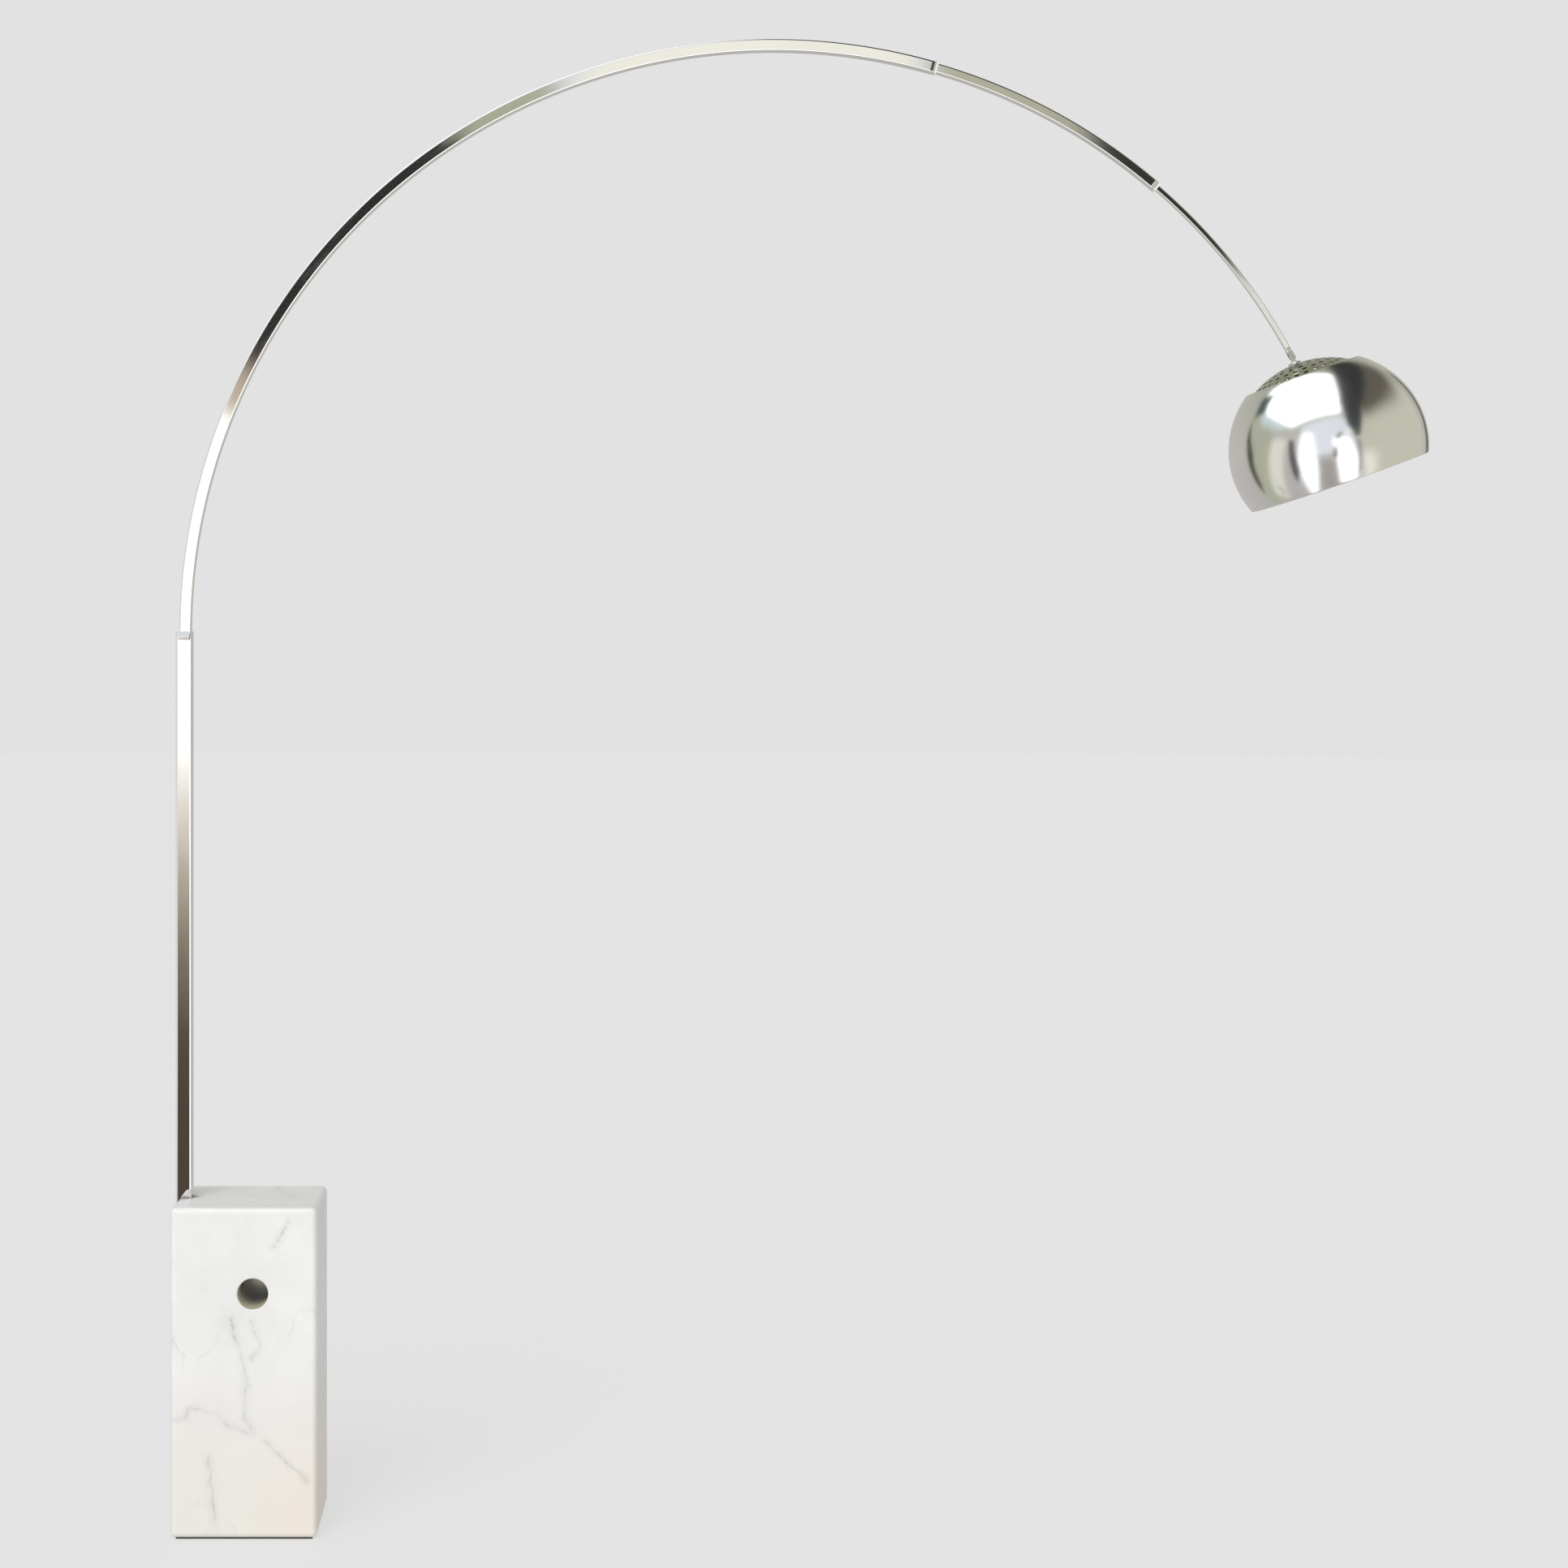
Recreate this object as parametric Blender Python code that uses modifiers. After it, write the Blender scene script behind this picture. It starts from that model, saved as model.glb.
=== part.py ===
"""Arc floor lamp: a marble block, an upright post, a three-part telescopic arc and a round metal shade.

Metres, +Z up. The origin is the centre of the block's footprint on the floor, the arc lies in the
XZ plane and the shade hangs on the +X side. Angles along the arc are measured at the arc's centre,
anticlockwise from +X, so the post stands at 180 degrees and the shade hangs near 28 degrees.
"""
import math

import bmesh
import bpy
from mathutils import Matrix, Vector

COLLECTION_NAME = "arc_floor_lamp"
CUTTER_COLLECTION_NAME = "cutters"

# Clearances
FIT = 0.0003                 # between pieces that touch
SLIDE = 0.0004               # each side of a piece that slides in another
SHELL_SLIDE = 0.0008         # between round shells that slip over each other
OVERCUT = 0.002              # how far a cutter runs past the face it cuts

# Marble block and its pad
BLOCK_WIDTH = 0.240
BLOCK_DEPTH = 0.180
BLOCK_HEIGHT = 0.540
BLOCK_EDGE = 0.009
PAD_THICKNESS = 0.003
PAD_INSET = 0.008
LIFTING_HOLE_DIAMETER = 0.050
LIFTING_HOLE_X = 0.015
LIFTING_HOLE_BELOW_TOP = 0.140

# Post, square tube set in a groove in the block's side
POST_SIZE = 0.026
POST_WALL = 0.0015
POST_CORNER = 0.0015
POST_PROUD = 0.003
POST_TOP_Z = 1.490
GROOVE_FOOT_Z = 0.042
BOLT_DIAMETER = 0.005
BOLT_HEAD_DIAMETER = 0.010
BOLT_HEAD_HEIGHT = 0.003
BOLT_SOCKET_RADIUS = 0.0017
BOLT_COUNT = 3
LOWEST_BOLT_Z = 0.140
HIGHEST_BOLT_BELOW_TOP = 0.1033
INSERT_DIAMETER = 0.011
INSERT_LENGTH = 0.032
FOOT_PLUG_LENGTH = 0.016
PACKER_LENGTH = 0.120
LOWER_TAIL_LENGTH = 0.124
PACKER_GRUB_DROPS = (0.030, 0.090)

# Telescopic arc, three square tubes bent to one radius
ARC_RADIUS = 0.984
ARC_START_BELOW_POST_TOP = 0.004
ARC_STEP = 2.0
LOWER_SIZE = 0.019
LOWER_WALL = 0.0012
LOWER_END_ANGLE = 74.1
MIDDLE_SIZE = 0.0154
MIDDLE_WALL = 0.0013
MIDDLE_TAIL_ANGLE = 95.0
MIDDLE_END_ANGLE = 49.5
END_WALL = 0.0012
END_GUIDE_SHARE = 0.6        # of the room between the lead and the middle arc's bore
END_TAIL_ANGLE = 60.0
END_SLIDE_IN_ANGLE = 16.0
TUBE_CORNER = 0.0012
MOUTH_RING_LENGTH = 0.004
GUIDE_LENGTH = 0.012
TAIL_COLLAR_LENGTH = 0.008
GRUB_DIAMETER = 0.004
GRUB_FROM_MOUTH = 0.016

# Lead inside the stem
LEAD_DIAMETER = 0.005
LEAD_CLEARANCE = 0.0004
LEAD_STEP = 3.0
LEAD_BEND_STEPS = 4
LEAD_START_INSET = 0.010
LEAD_CROSSING_BELOW_PACKER = 0.060
LEAD_CROSSING_LENGTH = 0.020
STAND_LEAD_END_ANGLE = 118.0
MIDDLE_LEAD_TAIL_ANGLE = 119.5
LEAD_GAP_ANGLE = 0.5
END_LEAD_TAIL_ANGLE = 78.0
END_LEAD_SHIFT_ANGLE = 3.0
LEAD_BEND_RADIUS = 0.013
GLAND_BORE_DIAMETER = 0.014
GLAND_COLLAR_DIAMETER = 0.022
GLAND_COLLAR_THICKNESS = 0.004
GLAND_LENGTH = 0.030

# Knuckle between the end arm and the shade
PIVOT_ANGLE = 28.0
KNUCKLE_RADIUS = 0.0055
KNUCKLE_PIN_DIAMETER = 0.004
TONGUE_THICKNESS = 0.0034
EAR_THICKNESS = 0.0024
FORK_LENGTH = 0.009
FORK_FLANGE = 0.002
FORK_PLUG_LENGTH = 0.012
PIN_HEAD_DIAMETER = 0.0084
PIN_HEAD_HEIGHT = 0.0022

# Shade: perforated cap, slip ring and reflector bowl, all round one centre
CAP_RADIUS = 0.152
CAP_WALL = 0.0012
CAP_TILT = 21.27
CAP_EDGE_ANGLE = 60.0
PIVOT_ABOVE_CAP = 0.0114
STEM_DIAMETER = 0.0096
STEM_BORE = 0.0056
STEM_LENGTH = 0.030
COLLAR_DIAMETER = 0.022
COLLAR_THICKNESS = 0.0030
COLLAR_TOP_DIAMETER = 0.0165
CAP_NUT_WIDTH = 0.018
CAP_NUT_THICKNESS = 0.005
HOLE_DIAMETER = 0.0080
HOLE_PITCH = 0.0158
HOLE_ROW_PITCH = 0.0142
HOLE_SIDES = 4
FIRST_ROW_ANGLE = 7.5
LAST_ROW_ANGLE = 40.5
BOWL_RADIUS = 0.160
BOWL_WALL = 0.0012
BOWL_TILT = 19.5
BOWL_TOP_ANGLE = 36.2
BOWL_RIM_ANGLE = 111.6
RING_TOP_ANGLE = 38.0
RING_FOOT_ANGLE = 46.0
SHELL_STEP = 7.5
SHELL_SEGMENTS = 48

# Lamp holder and bulb
HOLDER_DIAMETER = 0.038
HOLDER_LENGTH = 0.052
HOLDER_WALL = 0.002
HOLDER_CROWN = 0.005
HOLDER_TOP_DIAMETER = 0.0228
CONTACT_THICKNESS = 0.006
BULB_CAP_DIAMETER = 0.0265
BULB_CAP_LENGTH = 0.025
BULB_CAP_WALL = 0.0012
BULB_CAP_TIP_RADIUS = 0.0046
BULB_CAP_FLOOR = 0.0023
BULB_DIAMETER = 0.060
BULB_NECK_DIAMETER = 0.026
BULB_LENGTH = 0.088
BULB_WALL = 0.001
BULB_NECK_STRAIGHT = 0.0065
BULB_SHOULDER_DROP = 0.00325
BULB_NECK_IN_CAP = 0.00625
BULB_STEPS = 8
BULB_SHOULDER_ANGLE = 50.0
FILAMENT_DIAMETER = 0.009
FILAMENT_LENGTH = 0.052
FILAMENT_STEM_LENGTH = 0.0135
FILAMENT_TAPER = 0.0045
FILAMENT_WIRE_DIAMETER = 0.003
FILAMENT_HEAD_DIAMETER = 0.0135
FILAMENT_HEAD_LENGTH = 0.0045
FILAMENT_HEAD_TAPER = 0.009

ROUND_SEGMENTS = 24
SMALL_SEGMENTS = 16
HEXAGON = 6
SMOOTH_ANGLE = math.radians(35)
MERGE_DISTANCE = 0.00001

# Finishes: colour, roughness, metallic
FINISHES = {
    "marble": ((0.86, 0.85, 0.82), 0.30, 0.0),
    "steel": ((0.72, 0.71, 0.69), 0.12, 1.0),
    "zinc": ((0.60, 0.60, 0.62), 0.35, 1.0),
    "brass": ((0.78, 0.60, 0.30), 0.30, 1.0),
    "aluminium": ((0.86, 0.86, 0.85), 0.10, 1.0),
    "nylon": ((0.03, 0.03, 0.03), 0.50, 0.0),
    "felt": ((0.12, 0.12, 0.12), 0.95, 0.0),
    "rubber": ((0.05, 0.05, 0.05), 0.80, 0.0),
    "bakelite": ((0.04, 0.04, 0.04), 0.35, 0.0),
    "ceramic": ((0.90, 0.89, 0.86), 0.40, 0.0),
    "opal_glass": ((0.95, 0.95, 0.93), 0.25, 0.0),
}

# Sizes and places worked out from the sizes above
BLOCK_FOOT_Z = PAD_THICKNESS + FIT
BLOCK_TOP_Z = BLOCK_FOOT_Z + BLOCK_HEIGHT
POST_INNER = POST_SIZE - 2 * POST_WALL
POST_X = -BLOCK_WIDTH / 2 - POST_PROUD + POST_SIZE / 2
POST_FOOT_Z = GROOVE_FOOT_Z + FIT
HIGHEST_BOLT_Z = BLOCK_TOP_Z - HIGHEST_BOLT_BELOW_TOP
BOLT_SPACING = (HIGHEST_BOLT_Z - LOWEST_BOLT_Z) / (BOLT_COUNT - 1)
BOLT_HEIGHTS = [LOWEST_BOLT_Z + BOLT_SPACING * number for number in range(BOLT_COUNT)]
LOWER_INNER = LOWER_SIZE - 2 * LOWER_WALL
MIDDLE_INNER = MIDDLE_SIZE - 2 * MIDDLE_WALL
END_GUIDE_WALL = END_GUIDE_SHARE * ((MIDDLE_INNER - LEAD_DIAMETER) / 2 - SLIDE - FIT - END_WALL)
END_SIZE = MIDDLE_INNER - 2 * (SLIDE + END_GUIDE_WALL + FIT)
END_INNER = END_SIZE - 2 * END_WALL
CAP_INNER_RADIUS = CAP_RADIUS - CAP_WALL
BOWL_INNER_RADIUS = BOWL_RADIUS - BOWL_WALL
ARC_LINE_X = POST_X + POST_INNER / 2 - FIT - LOWER_SIZE / 2
ARC_CENTRE = Vector((ARC_LINE_X + ARC_RADIUS, 0.0, POST_TOP_Z - ARC_START_BELOW_POST_TOP))
SHADE_DISTANCE = CAP_RADIUS + PIVOT_ABOVE_CAP
CAP_AXIS = Vector((-math.sin(math.radians(CAP_TILT)), 0.0, math.cos(math.radians(CAP_TILT))))
STAND_LEAD_LANE = LOWER_INNER / 2 - LEAD_DIAMETER / 2 - LEAD_CLEARANCE
END_LEAD_LANE = MIDDLE_INNER / 2 - LEAD_DIAMETER / 2 - FIT
MIDDLE_LEAD_LANE = -END_LEAD_LANE
LEAD_HEIGHT = POST_FOOT_Z + FOOT_PLUG_LENGTH + LEAD_BEND_RADIUS


def start_clean():
    """Remove the scene's objects and return the collections for parts and cutters."""
    for item in list(bpy.data.objects):
        bpy.data.objects.remove(item, do_unlink=True)
    collections = []
    for name in (COLLECTION_NAME, CUTTER_COLLECTION_NAME):
        collection = bpy.data.collections.new(name)
        bpy.context.scene.collection.children.link(collection)
        collections.append(collection)
    return collections


PARTS, CUTTERS = start_clean()


def give_material(item, finish):
    """Give the piece its own Principled material in one of the finishes."""
    colour, roughness, metallic = FINISHES[finish]
    material = bpy.data.materials.new(item.name)
    material.use_nodes = True
    shader = material.node_tree.nodes["Principled BSDF"]
    shader.inputs["Base Color"].default_value = (*colour, 1.0)
    shader.inputs["Roughness"].default_value = roughness
    shader.inputs["Metallic"].default_value = metallic
    item.data.materials.append(material)


def place(item, parent, frame):
    """Parent the piece and set its place in its parent's frame."""
    item.parent = parent
    item.matrix_local = frame
    return item


def make_object(name, data, finish, parent=None, frame=Matrix()):
    """Make a piece, or a cutter when no finish is given."""
    item = bpy.data.objects.new(name, data)
    if finish is None:
        CUTTERS.objects.link(item)
        item.hide_render = True
        item.display_type = "WIRE"
    else:
        PARTS.objects.link(item)
        give_material(item, finish)
    return place(item, parent, frame)


def make_empty(name, parent, frame):
    """An empty that marks a joint, for the pieces that turn about it."""
    empty = bpy.data.objects.new(name, None)
    PARTS.objects.link(empty)
    return place(empty, parent, frame)


def finish_mesh(work, name, smooth):
    """Turn a bmesh into a mesh, with round pieces shaded smooth."""
    bmesh.ops.recalc_face_normals(work, faces=work.faces)
    mesh = bpy.data.meshes.new(name)
    work.to_mesh(mesh)
    work.free()
    if smooth:
        mesh.shade_smooth()
        mesh.set_sharp_from_angle(angle=SMOOTH_ANGLE)
    return mesh


def box(name, low, high, finish=None, parent=None, frame=Matrix()):
    """A rectangular piece between two corners of its frame."""
    low = Vector(low)
    high = Vector(high)
    work = bmesh.new()
    size = high - low
    bmesh.ops.create_cube(work, size=1.0)
    bmesh.ops.scale(work, vec=size, verts=work.verts)
    bmesh.ops.translate(work, vec=(low + high) / 2, verts=work.verts)
    return make_object(name, finish_mesh(work, name, False), finish, parent, frame)


def rod(name, radius, low, high, axis="Z", at=(0.0, 0.0, 0.0), segments=ROUND_SEGMENTS,
        finish=None, parent=None, frame=Matrix()):
    """A round bar from low to high along one axis of its frame."""
    turn = {"X": Matrix.Rotation(math.pi / 2, 4, "Y"), "Y": Matrix.Rotation(-math.pi / 2, 4, "X"),
            "Z": Matrix()}[axis]
    work = bmesh.new()
    bmesh.ops.create_cone(work, cap_ends=True, segments=segments, radius1=radius, radius2=radius,
                          depth=high - low)
    bmesh.ops.translate(work, vec=(0.0, 0.0, (low + high) / 2), verts=work.verts)
    bmesh.ops.transform(work, matrix=Matrix.Translation(at) @ turn, verts=work.verts)
    return make_object(name, finish_mesh(work, name, True), finish, parent, frame)


def round_ended(name, radius, foot, half, finish, parent, frame):
    """A bar with a flat foot and a half-round top about its frame's Y axis, from one outline."""
    steps = ROUND_SEGMENTS // 2
    turns = [math.pi * step / steps for step in range(steps + 1)]
    outline = [(radius * math.cos(turn), radius * math.sin(turn)) for turn in turns]
    outline += [(-radius, foot), (radius, foot)]
    work = bmesh.new()
    near = [work.verts.new((across, -half, up)) for across, up in outline]
    far = [work.verts.new((across, half, up)) for across, up in outline]
    work.faces.new(near)
    work.faces.new(far[::-1])
    for index in range(len(outline)):
        work.faces.new((near[index], near[index - 1], far[index - 1], far[index]))
    return make_object(name, finish_mesh(work, name, True), finish, parent, frame)


def turned(name, profile, finish=None, parent=None, frame=Matrix(), segments=SHELL_SEGMENTS,
           closed=True):
    """A turned piece: a profile of radii and heights, run down its outer side, on a Screw modifier."""
    mesh = bpy.data.meshes.new(name)
    count = len(profile)
    edges = [(index, index + 1) for index in range(count - 1)]
    if closed:
        edges.append((count - 1, 0))
    mesh.from_pydata([(radius, 0.0, height) for radius, height in profile], edges, [])
    item = make_object(name, mesh, finish, parent, frame)
    screw = item.modifiers.new("turn", "SCREW")
    screw.steps = segments
    screw.render_steps = segments
    screw.use_merge_vertices = True
    screw.merge_threshold = MERGE_DISTANCE
    return item


def cut(item, cutter):
    """Cut one piece with a cutter."""
    boolean = item.modifiers.new("cut_" + cutter.name, "BOOLEAN")
    boolean.operation = "DIFFERENCE"
    boolean.solver = "EXACT"
    boolean.object = cutter


def join(item, other):
    """Join a hidden helper solid to a piece."""
    boolean = item.modifiers.new("join_" + other.name, "BOOLEAN")
    boolean.operation = "UNION"
    boolean.solver = "EXACT"
    boolean.object = other


def bevel(item, width, segments=2, limit_angle=SMOOTH_ANGLE):
    """Round the piece's edges."""
    rounding = item.modifiers.new("edges", "BEVEL")
    rounding.width = width
    rounding.segments = segments
    rounding.limit_method = "ANGLE"
    rounding.angle_limit = limit_angle


def square_outline(size, corner):
    """The corners of a square with its corners cut off, as pairs across and deep."""
    half = size / 2
    short = half - corner
    return [(half, -short), (half, short), (short, half), (-short, half),
            (-half, short), (-half, -short), (-short, -half), (short, -half)]


def arc_frame(angle):
    """The frame at one angle of the arc: X outwards, Y to the front, Z along the arc to the shade."""
    turn = math.radians(angle)
    across = Vector((math.cos(turn), 0.0, math.sin(turn)))
    along = Vector((math.sin(turn), 0.0, -math.cos(turn)))
    front = Vector((0.0, -1.0, 0.0))
    frame = Matrix((across, front, along)).transposed().to_4x4()
    frame.translation = across * ARC_RADIUS
    return frame


def arc_angle(length):
    """The angle in degrees that a length along the arc takes."""
    return math.degrees(length / ARC_RADIUS)


def arc_bar(name, size, corner, from_angle, to_angle, tail=0.0, finish=None, parent=None):
    """A square bar bent round the arc's centre, with a straight tail below its first angle."""
    start = arc_frame(from_angle)
    steps = math.ceil((from_angle - to_angle) / ARC_STEP)
    work = bmesh.new()
    outline = [work.verts.new(start @ Vector((across, deep, 0.0)))
               for across, deep in square_outline(size, corner)]
    loop = [work.edges.new((outline[index - 1], outline[index])) for index in range(len(outline))]
    if tail > 0.0:
        drawn = bmesh.ops.extrude_edge_only(work, edges=loop)
        foot = [part for part in drawn["geom"] if isinstance(part, bmesh.types.BMVert)]
        bmesh.ops.translate(work, vec=start.to_3x3() @ Vector((0.0, 0.0, -tail)), verts=foot)
    bmesh.ops.spin(work, geom=outline + loop, cent=(0.0, 0.0, 0.0), axis=(0.0, 1.0, 0.0),
                   steps=steps, angle=math.radians(from_angle - to_angle), use_duplicate=False)
    bmesh.ops.holes_fill(work, edges=work.edges, sides=0)
    return make_object(name, finish_mesh(work, name, False), finish, parent)


def arc_tube(name, size, wall, from_angle, to_angle, tail, finish, parent):
    """A square tube bent round the arc's centre, open at both ends."""
    tube = arc_bar(name, size, TUBE_CORNER, from_angle, to_angle, tail, finish, parent)
    over = arc_angle(OVERCUT)
    inner_corner = max(TUBE_CORNER - wall, TUBE_CORNER / 4)
    bore_tail = tail + OVERCUT if tail > 0.0 else 0.0
    bore_from = from_angle if tail > 0.0 else from_angle + over
    bore = arc_bar(name + "_bore", size - 2 * wall, inner_corner, bore_from, to_angle - over,
                   bore_tail, None, parent)
    cut(tube, bore)
    return tube


def polar(radius, angle):
    """A profile point of a sphere, with the angle measured from the top of its axis."""
    return (radius * math.sin(math.radians(angle)), radius * math.cos(math.radians(angle)))


def zone_profile(outer, inner, top_angle, foot_angle):
    """The closed profile of a spherical shell between two angles, down outside and up inside."""
    steps = max(1, math.ceil((foot_angle - top_angle) / SHELL_STEP))
    angles = [top_angle + (foot_angle - top_angle) * step / steps for step in range(steps + 1)]
    down = [polar(outer, angle) for angle in angles]
    up = [polar(inner, angle) for angle in reversed(angles)]
    return down + up


def lead(name, points, parent, finish="rubber"):
    """A round lead along points, as a curve with filled ends."""
    curve = bpy.data.curves.new(name, "CURVE")
    curve.dimensions = "3D"
    curve.bevel_depth = LEAD_DIAMETER / 2
    curve.bevel_resolution = 2
    curve.use_fill_caps = True
    spline = curve.splines.new("POLY")
    spline.points.add(len(points) - 1)
    for point, place_on_route in zip(spline.points, points):
        point.co = (*place_on_route, 1.0)
    return make_object(name, curve, finish, parent)


def arc_route(from_angle, to_angle, lane):
    """Points along the arc, with lane giving the sideways place at an angle."""
    steps = max(2, math.ceil((from_angle - to_angle) / LEAD_STEP))
    points = []
    for step in range(steps + 1):
        angle = from_angle + (to_angle - from_angle) * step / steps
        point = arc_frame(angle).translation
        points.append(Vector((point.x, lane(angle), point.z)))
    return points


def make_base():
    """The marble block with its lifting hole, post groove and lead bore, and the pad under it."""
    block = box("marble_block", (-BLOCK_WIDTH / 2, -BLOCK_DEPTH / 2, BLOCK_FOOT_Z),
                (BLOCK_WIDTH / 2, BLOCK_DEPTH / 2, BLOCK_TOP_Z), "marble")
    bevel(block, BLOCK_EDGE)
    hole_z = BLOCK_TOP_Z - LIFTING_HOLE_BELOW_TOP
    cut(block, rod("lifting_hole", LIFTING_HOLE_DIAMETER / 2, -BLOCK_DEPTH, BLOCK_DEPTH, "Y",
                   (LIFTING_HOLE_X, 0.0, hole_z), 2 * ROUND_SEGMENTS))
    groove_side = POST_X + POST_SIZE / 2 + FIT
    groove_half = POST_SIZE / 2 + FIT
    cut(block, box("post_groove", (-BLOCK_WIDTH, -groove_half, GROOVE_FOOT_Z),
                   (groove_side, groove_half, BLOCK_TOP_Z + OVERCUT)))
    cut(block, rod("gland_bore", GLAND_BORE_DIAMETER / 2, 0.0, BLOCK_DEPTH, "Y",
                   (POST_X, 0.0, LEAD_HEIGHT)))
    for number, height in enumerate(BOLT_HEIGHTS, 1):
        cut(block, rod(f"insert_bore_{number}", INSERT_DIAMETER / 2 + FIT, groove_side - OVERCUT,
                       groove_side + INSERT_LENGTH + FIT, "X", (0.0, 0.0, height)))
    box("base_pad", (-BLOCK_WIDTH / 2 + PAD_INSET, -BLOCK_DEPTH / 2 + PAD_INSET, 0.0),
        (BLOCK_WIDTH / 2 - PAD_INSET, BLOCK_DEPTH / 2 - PAD_INSET, PAD_THICKNESS), "felt")


def make_post():
    """The square post with its foot plug, the bolts that hold it in the groove and their inserts."""
    post = box("post", (POST_X - POST_SIZE / 2, -POST_SIZE / 2, POST_FOOT_Z),
               (POST_X + POST_SIZE / 2, POST_SIZE / 2, POST_TOP_Z), "steel")
    bevel(post, POST_CORNER)
    cut(post, box("post_bore", (POST_X - POST_INNER / 2, -POST_INNER / 2, POST_FOOT_Z - OVERCUT),
                  (POST_X + POST_INNER / 2, POST_INNER / 2, POST_TOP_Z + OVERCUT)))
    cut(post, rod("post_lead_hole", GLAND_BORE_DIAMETER / 2, 0.0, POST_SIZE, "Y",
                  (POST_X, 0.0, LEAD_HEIGHT)))
    plug_half = POST_INNER / 2 - FIT
    box("post_foot_plug", (POST_X - plug_half, -plug_half, POST_FOOT_Z),
        (POST_X + plug_half, plug_half, POST_FOOT_Z + FOOT_PLUG_LENGTH), "nylon")
    face_x = POST_X - POST_SIZE / 2
    insert_x = POST_X + POST_SIZE / 2 + 2 * FIT
    for number, height in enumerate(BOLT_HEIGHTS, 1):
        at = (0.0, 0.0, height)
        bolt_end = insert_x + INSERT_LENGTH - INSERT_DIAMETER / 2
        bolt = rod(f"post_bolt_{number}", BOLT_DIAMETER / 2, face_x - FIT - BOLT_HEAD_HEIGHT / 2,
                   bolt_end, "X", at, SMALL_SEGMENTS, "zinc")
        join(bolt, rod(f"bolt_head_{number}", BOLT_HEAD_DIAMETER / 2,
                       face_x - FIT - BOLT_HEAD_HEIGHT, face_x - FIT, "X", at, SMALL_SEGMENTS))
        cut(bolt, rod(f"bolt_socket_{number}", BOLT_SOCKET_RADIUS, face_x - BOLT_HEAD_HEIGHT - OVERCUT,
                      face_x - FIT - BOLT_HEAD_HEIGHT / 2, "X", at, HEXAGON))
        cut(post, rod(f"bolt_hole_{number}", BOLT_DIAMETER / 2 + FIT, face_x - OVERCUT,
                      face_x + POST_SIZE + OVERCUT, "X", at, SMALL_SEGMENTS))
        insert = rod(f"marble_insert_{number}", INSERT_DIAMETER / 2, insert_x,
                     insert_x + INSERT_LENGTH - FIT, "X", at, SMALL_SEGMENTS, "brass")
        cut(insert, rod(f"insert_thread_{number}", BOLT_DIAMETER / 2 + FIT, insert_x - OVERCUT,
                        bolt_end + FIT, "X", at, SMALL_SEGMENTS))
    return post


def make_gland():
    """The bush in the back of the block that the lead comes in through."""
    back = BLOCK_DEPTH / 2
    at = (POST_X, 0.0, LEAD_HEIGHT)
    gland = rod("cable_gland", GLAND_BORE_DIAMETER / 2 - FIT, back - GLAND_LENGTH, back + FIT * 2,
                "Y", at, ROUND_SEGMENTS, "bakelite")
    join(gland, rod("gland_collar", GLAND_COLLAR_DIAMETER / 2, back + FIT,
                    back + GLAND_COLLAR_THICKNESS, "Y", at))
    cut(gland, rod("gland_way", LEAD_DIAMETER / 2 + LEAD_CLEARANCE, back - GLAND_LENGTH - OVERCUT,
                   back + GLAND_COLLAR_THICKNESS + OVERCUT, "Y", at))


def make_lower_arc(post):
    """The lower arc, whose straight tail is packed and screwed into the top of the post."""
    centre = make_empty("arc_centre", None, Matrix.Translation(ARC_CENTRE))
    tube = arc_tube("arc_lower", LOWER_SIZE, LOWER_WALL, 180.0, LOWER_END_ANGLE,
                    LOWER_TAIL_LENGTH, "steel", centre)
    packer_half = POST_INNER / 2 - FIT
    slot_half = LOWER_SIZE / 2 + FIT
    packer = box("post_packer", (POST_X - packer_half, -packer_half, POST_TOP_Z - PACKER_LENGTH),
                 (POST_X + packer_half, packer_half, POST_TOP_Z - FIT), "nylon")
    cut(packer, box("packer_slot", (ARC_LINE_X - slot_half, -slot_half, 0.0),
                    (ARC_LINE_X + POST_SIZE, slot_half, POST_TOP_Z + OVERCUT)))
    back = POST_SIZE / 2
    for number, drop in enumerate(PACKER_GRUB_DROPS, 1):
        at = (ARC_LINE_X, 0.0, POST_TOP_Z - drop)
        grub = rod(f"post_grub_screw_{number}", GRUB_DIAMETER / 2, slot_half, back, "Y", at,
                   SMALL_SEGMENTS, "zinc")
        cut(grub, rod(f"post_grub_socket_{number}", GRUB_DIAMETER / 4, back - GRUB_DIAMETER / 2,
                      back + OVERCUT, "Y", at, HEXAGON))
        way = rod(f"post_grub_way_{number}", GRUB_DIAMETER / 2 + FIT, slot_half - OVERCUT,
                  back + OVERCUT, "Y", at, SMALL_SEGMENTS)
        cut(post, way)
        cut(packer, way)
    return centre, tube


def square_ring(name, outer, inner, low, high, finish, parent, frame):
    """A short square sleeve along its frame's Z."""
    ring = box(name, (-outer / 2, -outer / 2, low), (outer / 2, outer / 2, high), finish, parent,
               frame)
    cut(ring, box(name + "_way", (-inner / 2, -inner / 2, low - OVERCUT),
                  (inner / 2, inner / 2, high + OVERCUT), None, parent, frame))
    return ring


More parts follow.
